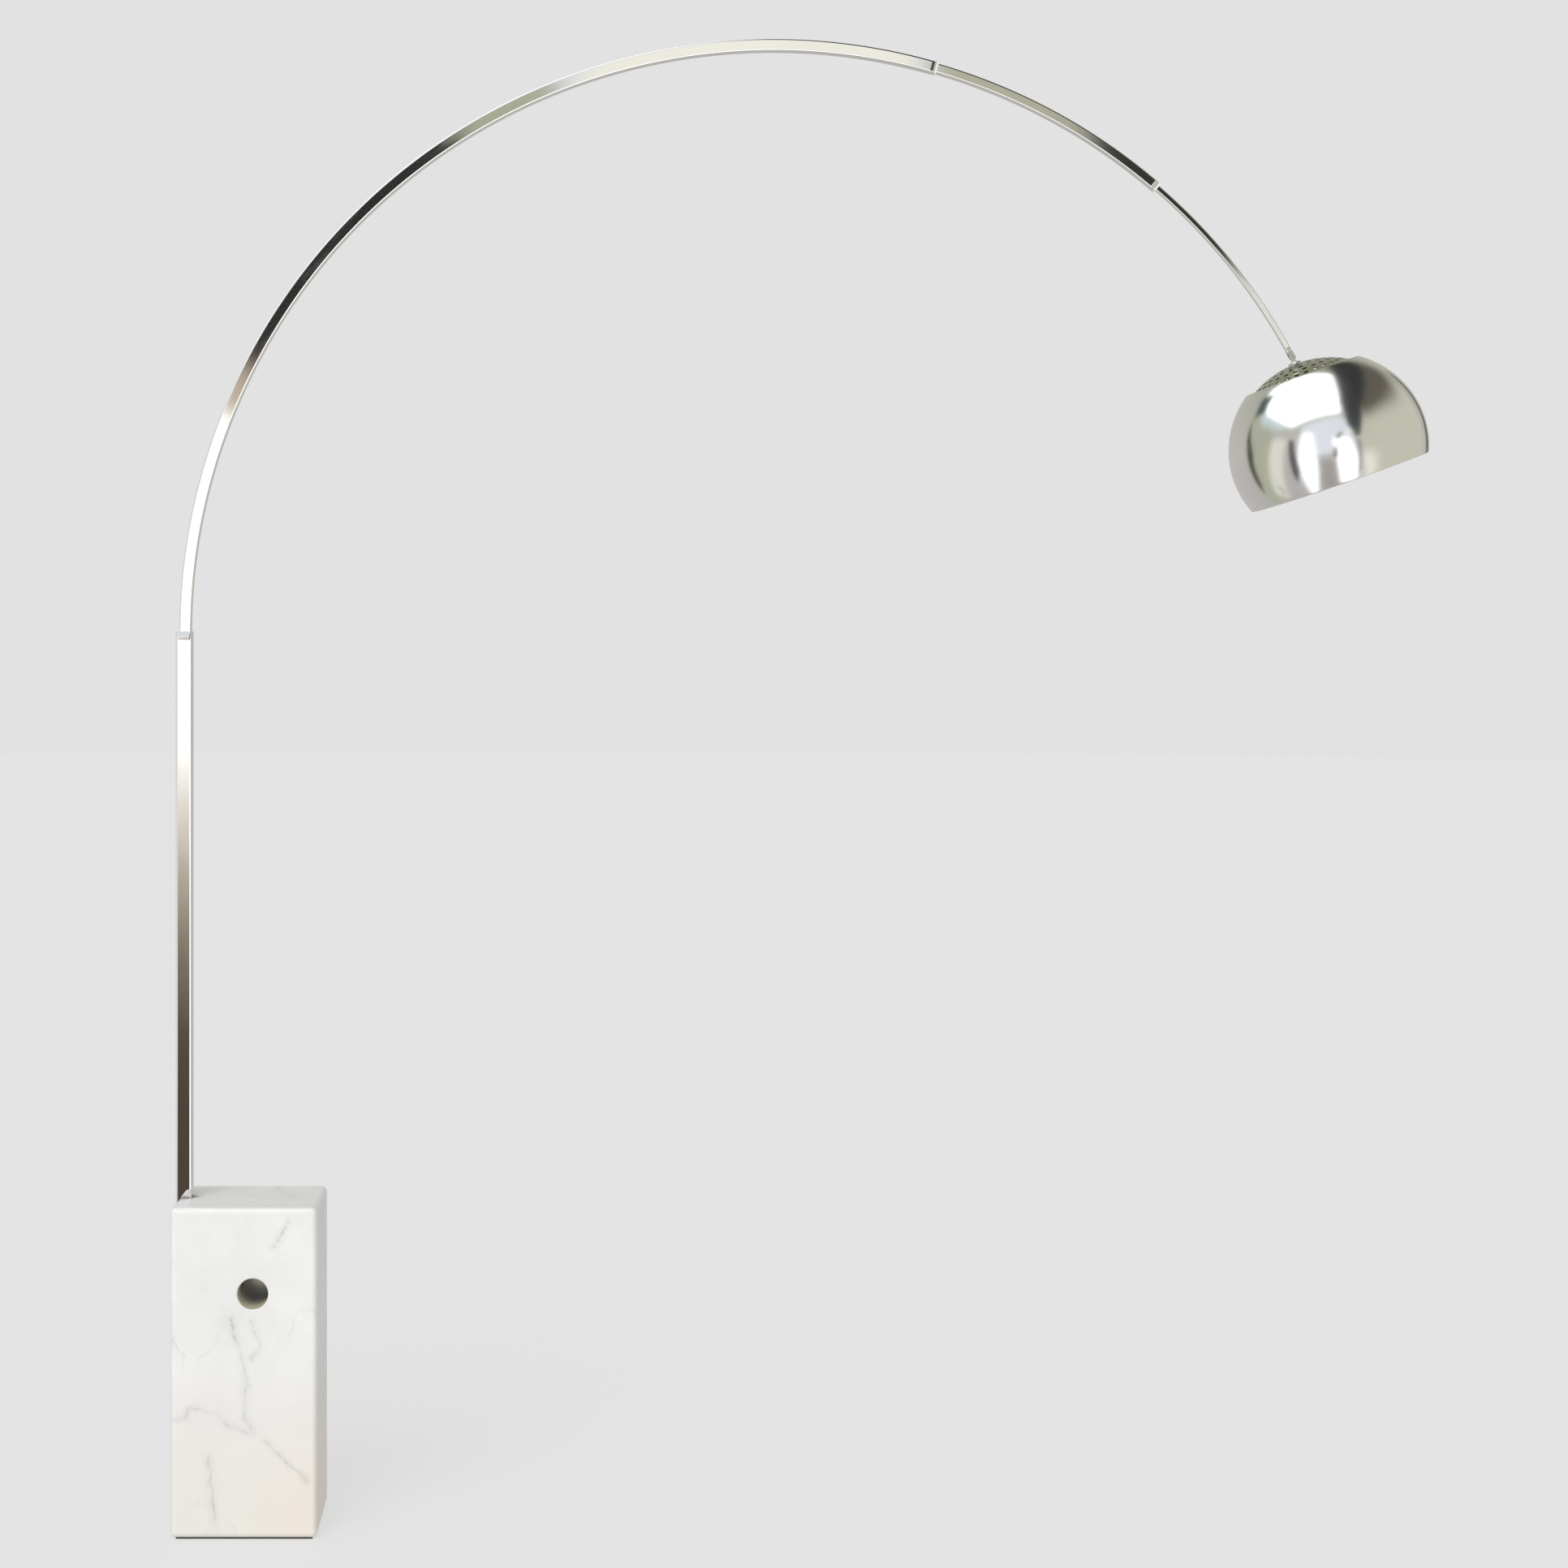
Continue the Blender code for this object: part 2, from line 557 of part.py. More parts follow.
def add_mouth_screw(name, tube, size, wall, end_angle, parent):
    """The small clamp screw in the back of a tube near its mouth."""
    frame = arc_frame(end_angle + arc_angle(GRUB_FROM_MOUTH))
    face = -size / 2
    screw = rod(name, GRUB_DIAMETER / 2, face - GRUB_DIAMETER / 4, face + wall, "Y",
                (0.0, 0.0, 0.0), SMALL_SEGMENTS, "zinc", parent, frame)
    cut(screw, rod(name + "_socket", GRUB_DIAMETER / 4, face - GRUB_DIAMETER, face, "Y",
                   (0.0, 0.0, 0.0), HEXAGON, None, parent, frame))
    cut(tube, rod(name + "_hole", GRUB_DIAMETER / 2 + FIT, face - OVERCUT, face + wall + OVERCUT / 2,
                  "Y", (0.0, 0.0, 0.0), SMALL_SEGMENTS, None, parent, frame))


def finish_lower_arc(centre, tube):
    """The lower arc's mouth ring and clamp screw."""
    square_ring("arc_lower_mouth_ring", LOWER_SIZE, MIDDLE_SIZE + 2 * SLIDE, FIT,
                MOUTH_RING_LENGTH, "nylon", centre, arc_frame(LOWER_END_ANGLE))
    add_mouth_screw("arc_lower_clamp_screw", tube, LOWER_SIZE, LOWER_WALL, LOWER_END_ANGLE, centre)


def make_middle_arc():
    """The middle arc with its tail plug, mouth bush and clamp screw."""
    hub = make_empty("middle_arc_axis", None, Matrix.Translation(ARC_CENTRE))
    tube = arc_tube("arc_middle", MIDDLE_SIZE, MIDDLE_WALL, MIDDLE_TAIL_ANGLE, MIDDLE_END_ANGLE,
                    0.0, "steel", hub)
    tail = arc_frame(MIDDLE_TAIL_ANGLE)
    collar = LOWER_INNER - 2 * SLIDE
    plug = box("arc_middle_tail_plug", (-collar / 2, -collar / 2, -TAIL_COLLAR_LENGTH),
               (collar / 2, collar / 2, -FIT), "nylon", hub, tail)
    spigot = MIDDLE_INNER / 2 - FIT
    join(plug, box("middle_spigot", (-spigot, -spigot, -TAIL_COLLAR_LENGTH / 2),
                   (spigot, spigot, GUIDE_LENGTH), None, hub, tail))
    cut(plug, rod("middle_lead_way", LEAD_DIAMETER / 2 + LEAD_CLEARANCE, -2 * TAIL_COLLAR_LENGTH,
                  2 * GUIDE_LENGTH, "Z", (0.0, -MIDDLE_LEAD_LANE, 0.0), SMALL_SEGMENTS, None, hub,
                  tail))
    mouth = arc_frame(MIDDLE_END_ANGLE)
    bush = box("arc_middle_mouth_bush", (-MIDDLE_SIZE / 2, -MIDDLE_SIZE / 2, FIT),
               (MIDDLE_SIZE / 2, MIDDLE_SIZE / 2, MOUTH_RING_LENGTH), "nylon", hub, mouth)
    join(bush, box("mouth_spigot", (-spigot, -spigot, -GUIDE_LENGTH),
                   (spigot, spigot, MOUTH_RING_LENGTH / 2), None, hub, mouth))
    way = END_SIZE / 2 + SLIDE
    cut(bush, box("mouth_way", (-way, -way, -2 * GUIDE_LENGTH), (way, way, 2 * GUIDE_LENGTH), None,
                  hub, mouth))
    add_mouth_screw("arc_middle_clamp_screw", tube, MIDDLE_SIZE, MIDDLE_WALL,
                    MIDDLE_END_ANGLE + arc_angle(GUIDE_LENGTH), hub)
    return hub


def make_end_arc():
    """The end arm with its tail guide and the fork that carries the knuckle."""
    hub = make_empty("end_arc_axis", None, Matrix.Translation(ARC_CENTRE))
    tube_end = PIVOT_ANGLE + arc_angle(FORK_LENGTH + FORK_FLANGE + FIT)
    arc_tube("arc_end", END_SIZE, END_WALL, END_TAIL_ANGLE, tube_end, 0.0, "steel", hub)
    square_ring("arc_end_tail_guide", MIDDLE_INNER - 2 * SLIDE, END_SIZE + 2 * FIT, 0.0,
                GUIDE_LENGTH, "nylon", hub, arc_frame(END_TAIL_ANGLE))
    pivot = arc_frame(PIVOT_ANGLE)
    half = TONGUE_THICKNESS / 2 + FIT + EAR_THICKNESS
    fork = round_ended("knuckle_fork", END_SIZE / 2, -FORK_LENGTH - FORK_FLANGE, half, "steel", hub,
                       pivot)
    plug = END_INNER / 2 - FIT
    join(fork, box("fork_plug", (-plug, -plug, -FORK_PLUG_LENGTH), (plug, plug, FORK_FLANGE), None,
                   hub, arc_frame(tube_end)))
    gap = TONGUE_THICKNESS / 2 + FIT
    cut(fork, box("fork_gap", (-END_SIZE, -gap, -FORK_LENGTH), (END_SIZE, gap, END_SIZE), None,
                  hub, pivot))
    cut(fork, rod("fork_pin_hole", KNUCKLE_PIN_DIAMETER / 2 + FIT, -2 * half, 2 * half, "Y",
                  (0.0, 0.0, 0.0), SMALL_SEGMENTS, None, hub, pivot))
    pin = rod("knuckle_pin", KNUCKLE_PIN_DIAMETER / 2, -half - PIN_HEAD_HEIGHT,
              half + PIN_HEAD_HEIGHT / 2, "Y", (0.0, 0.0, 0.0), SMALL_SEGMENTS, "steel", hub, pivot)
    join(pin, rod("pin_head", PIN_HEAD_DIAMETER / 2, half + FIT, half + PIN_HEAD_HEIGHT, "Y",
                  (0.0, 0.0, 0.0), SMALL_SEGMENTS, None, hub, pivot))
    nut = rod("knuckle_nut", PIN_HEAD_DIAMETER / 2, -half - PIN_HEAD_HEIGHT, -half - FIT, "Y",
              (0.0, 0.0, 0.0), HEXAGON, "zinc", hub, pivot)
    cut(nut, rod("nut_hole", KNUCKLE_PIN_DIAMETER / 2 + FIT, -2 * half, 0.0, "Y", (0.0, 0.0, 0.0),
                 SMALL_SEGMENTS, None, hub, pivot))
    return hub


def make_shade_frames():
    """The empties at the knuckle's pivot and at the shade's centre, and the centre's place."""
    pivot_point = ARC_CENTRE + arc_frame(PIVOT_ANGLE).translation
    knuckle = make_empty("knuckle_axis", None, Matrix.Translation(pivot_point))
    tilt = Matrix.Rotation(-math.radians(CAP_TILT), 4, "Y")
    shade = make_empty("shade_centre", knuckle,
                       Matrix.Translation(-CAP_AXIS * SHADE_DISTANCE) @ tilt)
    return shade, pivot_point - CAP_AXIS * SHADE_DISTANCE


def make_knuckle_tongue(shade):
    """The tongue in the fork, one piece with the hollow threaded stem that holds the cap."""
    half = TONGUE_THICKNESS / 2
    top = SHADE_DISTANCE
    stem_top = top - KNUCKLE_RADIUS - 4 * FIT
    stem_foot = stem_top - STEM_LENGTH
    tongue = rod("knuckle_tongue", KNUCKLE_RADIUS - FIT, -half, half, "Y", (0.0, 0.0, top),
                 ROUND_SEGMENTS, "steel", shade)
    join(tongue, box("tongue_neck", (-STEM_DIAMETER / 3, -half, stem_top - OVERCUT),
                     (STEM_DIAMETER / 3, half, top), None, shade))
    join(tongue, rod("tongue_stem", STEM_DIAMETER / 2, stem_foot, stem_top, "Z",
                     (0.0, 0.0, 0.0), SMALL_SEGMENTS, None, shade))
    cut(tongue, rod("stem_way", STEM_BORE / 2, stem_foot - OVERCUT, stem_top - OVERCUT, "Z",
                    (0.0, 0.0, 0.0), SMALL_SEGMENTS, None, shade))
    cut(tongue, rod("tongue_pin_hole", KNUCKLE_PIN_DIAMETER / 2 + FIT, -2 * half, 2 * half, "Y",
                    (0.0, 0.0, top), SMALL_SEGMENTS, None, shade))
    return stem_foot


def hole_places():
    """The angle from the cap's axis and the angle round it of each vent hole."""
    row_step = math.degrees(HOLE_ROW_PITCH / CAP_RADIUS)
    rows = int((LAST_ROW_ANGLE - FIRST_ROW_ANGLE) / row_step) + 1
    places = []
    for row in range(rows):
        down = FIRST_ROW_ANGLE + row * row_step
        girth = 2 * math.pi * CAP_RADIUS * math.sin(math.radians(down))
        count = int(girth / HOLE_PITCH)
        for hole in range(count):
            places.append((down, 360.0 * (hole + (row % 2) / 2) / count))
    return places


def make_cap(shade):
    """The perforated cap, with its collar outside and its nut inside."""
    stem_hole = math.degrees(math.asin((STEM_DIAMETER / 2 + FIT) / CAP_INNER_RADIUS))
    cap = turned("perforated_cap", zone_profile(CAP_RADIUS, CAP_INNER_RADIUS, stem_hole,
                                                CAP_EDGE_ANGLE), "aluminium", shade)
    work = bmesh.new()
    for down, around in hole_places():
        frame = (Matrix.Rotation(math.radians(around), 4, "Z")
                 @ Matrix.Rotation(math.radians(down), 4, "Y")
                 @ Matrix.Translation((0.0, 0.0, CAP_RADIUS)))
        bmesh.ops.create_cone(work, cap_ends=True, segments=HOLE_SIDES, radius1=HOLE_DIAMETER / 2,
                              radius2=HOLE_DIAMETER / 2, depth=4 * CAP_WALL + OVERCUT, matrix=frame)
    cut(cap, make_object("vent_holes", finish_mesh(work, "vent_holes", False), None, shade))
    way = STEM_DIAMETER / 2 + FIT
    collar_foot = CAP_RADIUS + FIT
    collar = COLLAR_DIAMETER / 2
    turned("cap_collar", [(way, collar_foot + COLLAR_THICKNESS),
                          (COLLAR_TOP_DIAMETER / 2, collar_foot + COLLAR_THICKNESS),
                          (collar, collar_foot + COLLAR_THICKNESS / 2), (collar, collar_foot),
                          (way, collar_foot)], "steel", shade, segments=ROUND_SEGMENTS)
    nut_top = math.sqrt(CAP_INNER_RADIUS ** 2 - (CAP_NUT_WIDTH / 2) ** 2) - FIT
    nut = rod("cap_nut", CAP_NUT_WIDTH / 2, nut_top - CAP_NUT_THICKNESS, nut_top, "Z",
              (0.0, 0.0, 0.0), HEXAGON, "zinc", shade)
    cut(nut, rod("cap_nut_way", way, 0.0, CAP_RADIUS, "Z", (0.0, 0.0, 0.0), SMALL_SEGMENTS, None,
                 shade))
    return nut_top - CAP_NUT_THICKNESS - FIT


def make_holder(shade, top, stem_foot):
    """The lamp holder on the stem, its contact block, and the bulb screwed into it."""
    outer = HOLDER_DIAMETER / 2
    inner = outer - HOLDER_WALL
    way = STEM_DIAMETER / 2 + FIT
    crown = HOLDER_TOP_DIAMETER / 2
    foot = top - HOLDER_LENGTH
    turned("lamp_holder", [(way, top), (crown, top), (outer, top - HOLDER_CROWN * 2),
                           (outer, foot), (inner, foot), (inner, top - HOLDER_CROWN * 2),
                           (crown, top - HOLDER_CROWN), (way, top - HOLDER_CROWN)],
           "bakelite", shade, segments=ROUND_SEGMENTS)
    contact_top = min(stem_foot, top - 2 * HOLDER_CROWN) - FIT
    contact_foot = contact_top - CONTACT_THICKNESS
    rod("holder_contact_block", inner - FIT, contact_foot, contact_top, "Z", (0.0, 0.0, 0.0),
        ROUND_SEGMENTS, "ceramic", shade)
    cap_top = contact_foot - FIT
    cap_foot = cap_top - BULB_CAP_LENGTH
    cap_outer = BULB_CAP_DIAMETER / 2
    cap_inner = cap_outer - BULB_CAP_WALL
    tip = BULB_CAP_TIP_RADIUS
    turned("bulb_cap", [(0.0, cap_top), (tip, cap_top), (cap_outer, cap_top - tip),
                        (cap_outer, cap_foot), (cap_inner, cap_foot),
                        (cap_inner, cap_top - tip - BULB_CAP_FLOOR), (0.0, cap_top - tip - BULB_CAP_FLOOR)],
           "brass", shade, segments=ROUND_SEGMENTS, closed=False)
    make_bulb(shade, cap_foot)


def bulb_outline(neck_top, shrink):
    """The bulb's outline down from its neck, with the wall taken off by shrink."""
    neck = BULB_NECK_DIAMETER / 2 - 2 * BULB_CAP_WALL - shrink
    ball = BULB_DIAMETER / 2 - shrink
    centre = neck_top - BULB_LENGTH + BULB_DIAMETER / 2
    steps = BULB_STEPS
    start = math.radians(BULB_SHOULDER_ANGLE)
    join_radius = ball * math.sin(start)
    join_height = centre + ball * math.cos(start)
    profile = [(neck, neck_top), (neck, neck_top - BULB_NECK_STRAIGHT)]
    profile.append(((neck + join_radius) / 2, (neck_top + join_height) / 2 - BULB_SHOULDER_DROP))
    for step in range(steps + 1):
        turn = start + (math.pi - start) * step / steps
        radius = ball * math.sin(turn) if step < steps else 0.0
        profile.append((radius, centre + ball * math.cos(turn)))
    return profile


def make_bulb(shade, cap_foot):
    """The bulb's glass, open at its neck, and the stem with its filament inside."""
    neck_top = cap_foot + BULB_NECK_IN_CAP
    outside = bulb_outline(neck_top, 0.0)
    inside = bulb_outline(neck_top, BULB_WALL)
    turned("bulb_glass", outside + inside[::-1], "opal_glass", shade, segments=SMALL_SEGMENTS)
    radius = FILAMENT_DIAMETER / 2
    foot = neck_top - FILAMENT_LENGTH
    stem_foot = neck_top - FILAMENT_STEM_LENGTH
    wire = FILAMENT_WIRE_DIAMETER / 2
    head = FILAMENT_HEAD_DIAMETER / 2
    head_top = foot + FILAMENT_HEAD_LENGTH
    turned("bulb_filament", [(0.0, neck_top), (radius, neck_top), (radius, stem_foot),
                             (wire, stem_foot - FILAMENT_TAPER),
                             (wire, head_top + FILAMENT_HEAD_TAPER), (head, head_top),
                             (head, foot), (0.0, foot)],
           "ceramic", shade, segments=SMALL_SEGMENTS, closed=False)


def make_reflector(centre):
    """The slip ring over the cap and the reflector bowl over the ring."""
    tilt = Matrix.Rotation(-math.radians(BOWL_TILT), 4, "Y")
    hub = make_empty("reflector_centre", None, Matrix.Translation(centre) @ tilt)
    turned("slip_ring", zone_profile(BOWL_INNER_RADIUS - SHELL_SLIDE, CAP_RADIUS + SHELL_SLIDE,
                                     RING_TOP_ANGLE, RING_FOOT_ANGLE), "felt", hub)
    turned("reflector_bowl", zone_profile(BOWL_RADIUS, BOWL_INNER_RADIUS, BOWL_TOP_ANGLE,
                                          BOWL_RIM_ANGLE), "aluminium", hub)


def make_leads(centre, middle_hub, end_hub):
    """The lead inside the stem, one length for each telescopic member."""
    origin = Vector(ARC_CENTRE)
    points = [Vector((POST_X, BLOCK_DEPTH / 2 - LEAD_START_INSET, LEAD_HEIGHT))]
    turn_y = STAND_LEAD_LANE + LEAD_BEND_RADIUS
    for step in range(LEAD_BEND_STEPS + 1):
        turn = math.pi / 2 * step / LEAD_BEND_STEPS
        points.append(Vector((POST_X, turn_y - LEAD_BEND_RADIUS * math.sin(turn),
                              LEAD_HEIGHT + LEAD_BEND_RADIUS * (1 - math.cos(turn)))))
    straight_top = POST_TOP_Z - PACKER_LENGTH - LEAD_CROSSING_BELOW_PACKER
    points.append(Vector((POST_X, STAND_LEAD_LANE, straight_top)))
    points.append(Vector((ARC_LINE_X, STAND_LEAD_LANE, straight_top + LEAD_CROSSING_LENGTH)))
    points = [point - origin for point in points]
    points += arc_route(180.0, STAND_LEAD_END_ANGLE, lambda angle: STAND_LEAD_LANE)
    lead("lead_in_stand", points, centre)
    shift_start = END_TAIL_ANGLE + arc_angle(GUIDE_LENGTH)
    middle_end = shift_start + END_LEAD_SHIFT_ANGLE + END_SLIDE_IN_ANGLE + LEAD_GAP_ANGLE
    lead("lead_in_middle_arc", arc_route(MIDDLE_LEAD_TAIL_ANGLE, middle_end,
                                         lambda angle: MIDDLE_LEAD_LANE), middle_hub)

    def end_lane(angle):
        share = (angle - shift_start) / END_LEAD_SHIFT_ANGLE
        return END_LEAD_LANE * min(max(share, 0.0), 1.0)

    fork_back = PIVOT_ANGLE + arc_angle(FORK_LENGTH + FORK_FLANGE + FORK_PLUG_LENGTH + 4 * FIT)
    lead("lead_in_end_arc", arc_route(END_LEAD_TAIL_ANGLE, fork_back, end_lane), end_hub)


def build():
    """Make the whole lamp."""
    make_base()
    post = make_post()
    make_gland()
    centre, lower_tube = make_lower_arc(post)
    finish_lower_arc(centre, lower_tube)
    middle_hub = make_middle_arc()
    end_hub = make_end_arc()
    shade, shade_centre = make_shade_frames()
    stem_foot = make_knuckle_tongue(shade)
    holder_top = make_cap(shade)
    make_holder(shade, holder_top, stem_foot)
    make_reflector(shade_centre)
    make_leads(centre, middle_hub, end_hub)
    bpy.context.view_layer.update()


build()
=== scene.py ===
"""Arc floor lamp, as it looks: a veined marble block, a polished steel stem and a spun metal shade.

Metres, +Z up, in the frame's own place. The stem's arc lies in the XZ plane and the shade hangs on
the +X side. Angles along the arc are measured at the arc's centre, anticlockwise from +X.
"""

import math

import bmesh
import bpy
import numpy as np
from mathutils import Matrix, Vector


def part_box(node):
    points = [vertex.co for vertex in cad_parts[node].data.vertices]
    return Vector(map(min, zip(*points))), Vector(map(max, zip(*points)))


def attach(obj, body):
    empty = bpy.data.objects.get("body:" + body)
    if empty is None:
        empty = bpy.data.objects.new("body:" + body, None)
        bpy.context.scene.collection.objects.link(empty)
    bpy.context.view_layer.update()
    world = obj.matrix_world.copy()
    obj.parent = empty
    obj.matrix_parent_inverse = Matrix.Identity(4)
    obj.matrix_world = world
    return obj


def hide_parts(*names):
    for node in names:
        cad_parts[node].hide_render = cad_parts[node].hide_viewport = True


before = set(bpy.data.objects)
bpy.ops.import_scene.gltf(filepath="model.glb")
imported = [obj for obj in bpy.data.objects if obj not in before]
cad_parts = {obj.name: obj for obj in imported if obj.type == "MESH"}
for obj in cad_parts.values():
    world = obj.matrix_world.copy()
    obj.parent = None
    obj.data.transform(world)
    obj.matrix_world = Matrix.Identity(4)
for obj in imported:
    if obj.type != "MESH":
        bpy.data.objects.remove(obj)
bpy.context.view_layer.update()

# Driving sizes
FIT = 0.0003                  # between pieces that touch
BLOCK_EDGE = 0.009
LIFTING_HOLE_DIAMETER = 0.050
LIFTING_HOLE_X = 0.015
LIFTING_HOLE_BELOW_TOP = 0.140
HOLE_EASING = 0.003
GROOVE_FOOT_Z = 0.042
GLAND_BORE_DIAMETER = 0.014
INSERT_BORE_DIAMETER = 0.0116
POST_WALL = 0.0015
POST_CORNER = 0.0018
ARC_RADIUS = 0.984
LOWER_WALL = 0.0012
MIDDLE_WALL = 0.0013
END_WALL = 0.0012
TUBE_CORNER = 0.0014
TUBE_LIP = 0.0003
LOWER_TAIL_LENGTH = 0.124
LOWER_ANGLES = (180.0, 74.1)
MIDDLE_ANGLES = (95.0, 49.5)
END_TAIL_ANGLE = 60.0
PIVOT_ANGLE = 28.0
FORK_REACH = 0.0113
CAP_RADIUS = 0.152
CAP_TILT = 21.27
CAP_EDGE_ANGLE = 60.0
PIVOT_ABOVE_CAP = 0.0114
STEM_DIAMETER = 0.0096
SHELL_WALL = 0.0012
BOWL_RADIUS = 0.160
BOWL_SPARE = 0.0001           # keeps the finer bowl inside the coarse one's box
BOWL_TILT = 19.5
BOWL_ANGLES = (36.2, 111.6)
RING_ANGLES = (38.0, 46.0)
SHELL_SLIDE = 0.0008
HOLE_DIAMETER = 0.0080
HOLE_PITCH = 0.0158
HOLE_ROW_PITCH = 0.0142
FIRST_ROW_ANGLE = 7.5
LAST_ROW_ANGLE = 56.0
CELL_SHARE = 0.46             # half a vent cell's height, as a share of the rows' pitch
COLLAR_RADII = (0.0082, 0.0110)
COLLAR_THICKNESS = 0.0030
COLLAR_RIM_THICKNESS = 0.0013
COLLAR_EASING = 0.0008

# Lamp holder and bulb: radii, and heights below their top or above their foot
HOLDER_RADIUS = 0.019
HOLDER_BORE_RADIUS = 0.017
HOLDER_CROWN_RADIUS = 0.0114
HOLDER_CEILING = 0.005
HOLDER_SHOULDER = 0.010
HOLDER_SHOULDER_FOOT = 0.0125
HOLDER_EASING = 0.002
HOLDER_LIP = 0.0008
RIB_COUNT = 9
RIB_DEPTH = 0.0006
RIBS_BELOW_TOP = 0.014
RIBS_ABOVE_FOOT = 0.006
CONTACT_HEIGHT = 0.0046       # also its radius
CONTACT_FLAT_RADIUS = 0.0030
CONTACT_DROP = 0.0006
BULB_CAP_SHOULDER_RADIUS = 0.0118
BULB_CAP_BORE_RADIUS = 0.01205
BULB_CAP_CEILING = 0.0023     # below the contact
THREAD_RADIUS = 0.01325
THREAD_HALF_DEPTH = 0.0004
THREAD_PITCH = 0.0036
THREAD_BELOW_CONTACT = 0.002
THREAD_ABOVE_FOOT = 0.003
THREAD_FADE = 0.002
GLASS_RADIUS = 0.030
GLASS_SHOULDER_ANGLE = 52.0   # where the neck's curve meets the ball
GLASS_NECK_RADIUS = 0.0106
GLASS_NECK_LENGTH = 0.0065
GLASS_NECK_PULL = 0.013
GLASS_SHOULDER_PULL = 0.010
GLASS_WALL = 0.001

# Fineness
TUBE_STEP = 0.5               # degrees
SHELL_SIDES = 192
SMALL_SIDES = 64
HOLE_SIDES = 16
STEM_RING_SIDES = 24
FLOOR_SIDES = 96
POST_STATIONS = 60
TAIL_STATIONS = 12
BOWL_STEPS = 90
RING_STEPS = 10
RIM_STEPS = 8
RIM_STEP_ANGLE = 1.5          # degrees
FLARE_STEPS = 6
RIB_STATIONS = 64
THREAD_STATIONS = 90
NECK_STEPS = 15
BALL_STEPS = 39
FLAT_INSET = 0.004            # from a round edge to the first mark on the flat beside it
SHARP_ANGLE = math.radians(38)
MERGE_DISTANCE = 0.000005

# Camera
CAMERA_PLACE = (0.5126, -3.975, 1.4154)
CAMERA_LENS = 54.5
CAMERA_SENSOR = 36.0
CAMERA_SHIFT = (0.145, -0.069)

# Studio
BACKDROP = 0.7605             # brightness of the backdrop and the floor
AMBIENT = 0.58
FLOOR_ALBEDO = 0.90
FLOOR_GLOW = 0.75             # share of the floor's brightness that takes no shadow
FLOOR_RADIUS = 40.0
FLOOR_DROP = 0.0005           # keeps the floor clear of the pad's underside
KEY_STRENGTH = 1.66
KEY_FROM = (-0.270, -0.755, 0.598)
KEY_SPREAD = 50.0
METAL_LOSS = 0.84             # what polished metal keeps of the light it reflects


def low_high(node):
    """A node's lowest and highest corners as arrays."""
    low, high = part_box(node)
    return np.array(low), np.array(high)


def size_across(node):
    """A tube's size from front to back."""
    low, high = low_high(node)
    return high[1] - low[1]


BLOCK_LOW, BLOCK_HIGH = low_high("marble_block")
POST_LOW, POST_HIGH = low_high("post")
LOWER_SIZE = size_across("arc_lower")
MIDDLE_SIZE = size_across("arc_middle")
END_SIZE = size_across("arc_end")
ARC_CENTRE = np.array([low_high("arc_lower")[0][0] + LOWER_SIZE / 2 + ARC_RADIUS, 0.0,
                       low_high("arc_lower")[1][2] - LOWER_SIZE / 2 - ARC_RADIUS])
SHADE_DISTANCE = CAP_RADIUS + PIVOT_ABOVE_CAP


def axis_at(tilt):
    """The upward axis of a shell that leans towards the stem by a tilt in degrees."""
    turn = math.radians(tilt)
    return np.array([-math.sin(turn), 0.0, math.cos(turn)])


def arc_directions(angles):
    """Outward and shadeward directions at angles along the arc."""
    turn = np.radians(angles)
    zero = np.zeros_like(turn)
    outward = np.stack([np.cos(turn), zero, np.sin(turn)], -1)
    forward = np.stack([np.sin(turn), zero, -np.cos(turn)], -1)
    return outward, forward


PIVOT = ARC_CENTRE + ARC_RADIUS * arc_directions(np.array([PIVOT_ANGLE]))[0][0]
SHADE_CENTRE = PIVOT - SHADE_DISTANCE * axis_at(CAP_TILT)


# ---------------------------------------------------------------- surfaces

def ring_faces(rows, columns, wrap_rows=True):
    """Quads between neighbours of a grid of points that closes on itself along its columns."""
    row, column = np.meshgrid(np.arange(rows if wrap_rows else rows - 1), np.arange(columns),
                              indexing="ij")
    next_row = (row + 1) % rows
    next_column = (column + 1) % columns
    quads = np.stack([row * columns + column, row * columns + next_column,
                      next_row * columns + next_column, next_row * columns + column], -1)
    return quads.reshape(-1, 4)


def solid_volume(points, faces):
    """The signed volume inside closed faces, as fans of triangles seen from the middle."""
    middle = points.mean(0)
    total = 0.0
    for group in faces:
        corner = points[group] - middle
        for second in range(1, group.shape[1] - 1):
            total += np.einsum("ij,ij->i", corner[:, 0],
                               np.cross(corner[:, second], corner[:, second + 1])).sum()
    return total


def add_object(name, data):
    """A new object in the scene."""
    item = bpy.data.objects.new(name, data)
    bpy.context.scene.collection.objects.link(item)
    return item


def make_mesh(name, points, faces):
    """A mesh from an array of points and arrays of faces, turned so that its faces point outwards."""
    if solid_volume(points, faces) < 0.0:
        faces = [group[:, ::-1] for group in faces]
    corners = np.concatenate([group.ravel() for group in faces])
    sizes = np.concatenate([np.full(len(group), group.shape[1]) for group in faces])
    mesh = bpy.data.meshes.new(name)
    mesh.vertices.add(len(points))
    mesh.vertices.foreach_set("co", points.ravel())
    mesh.loops.add(len(corners))
    mesh.loops.foreach_set("vertex_index", corners)
    mesh.polygons.add(len(sizes))
    mesh.polygons.foreach_set("loop_start", np.cumsum(sizes) - sizes)
    mesh.update(calc_edges=True)
    work = bmesh.new()
    work.from_mesh(mesh)
    bmesh.ops.remove_doubles(work, verts=work.verts, dist=MERGE_DISTANCE)
    work.to_mesh(mesh)
    work.free()
    mesh.shade_smooth()
    mesh.set_sharp_from_angle(angle=SHARP_ANGLE)
    return mesh


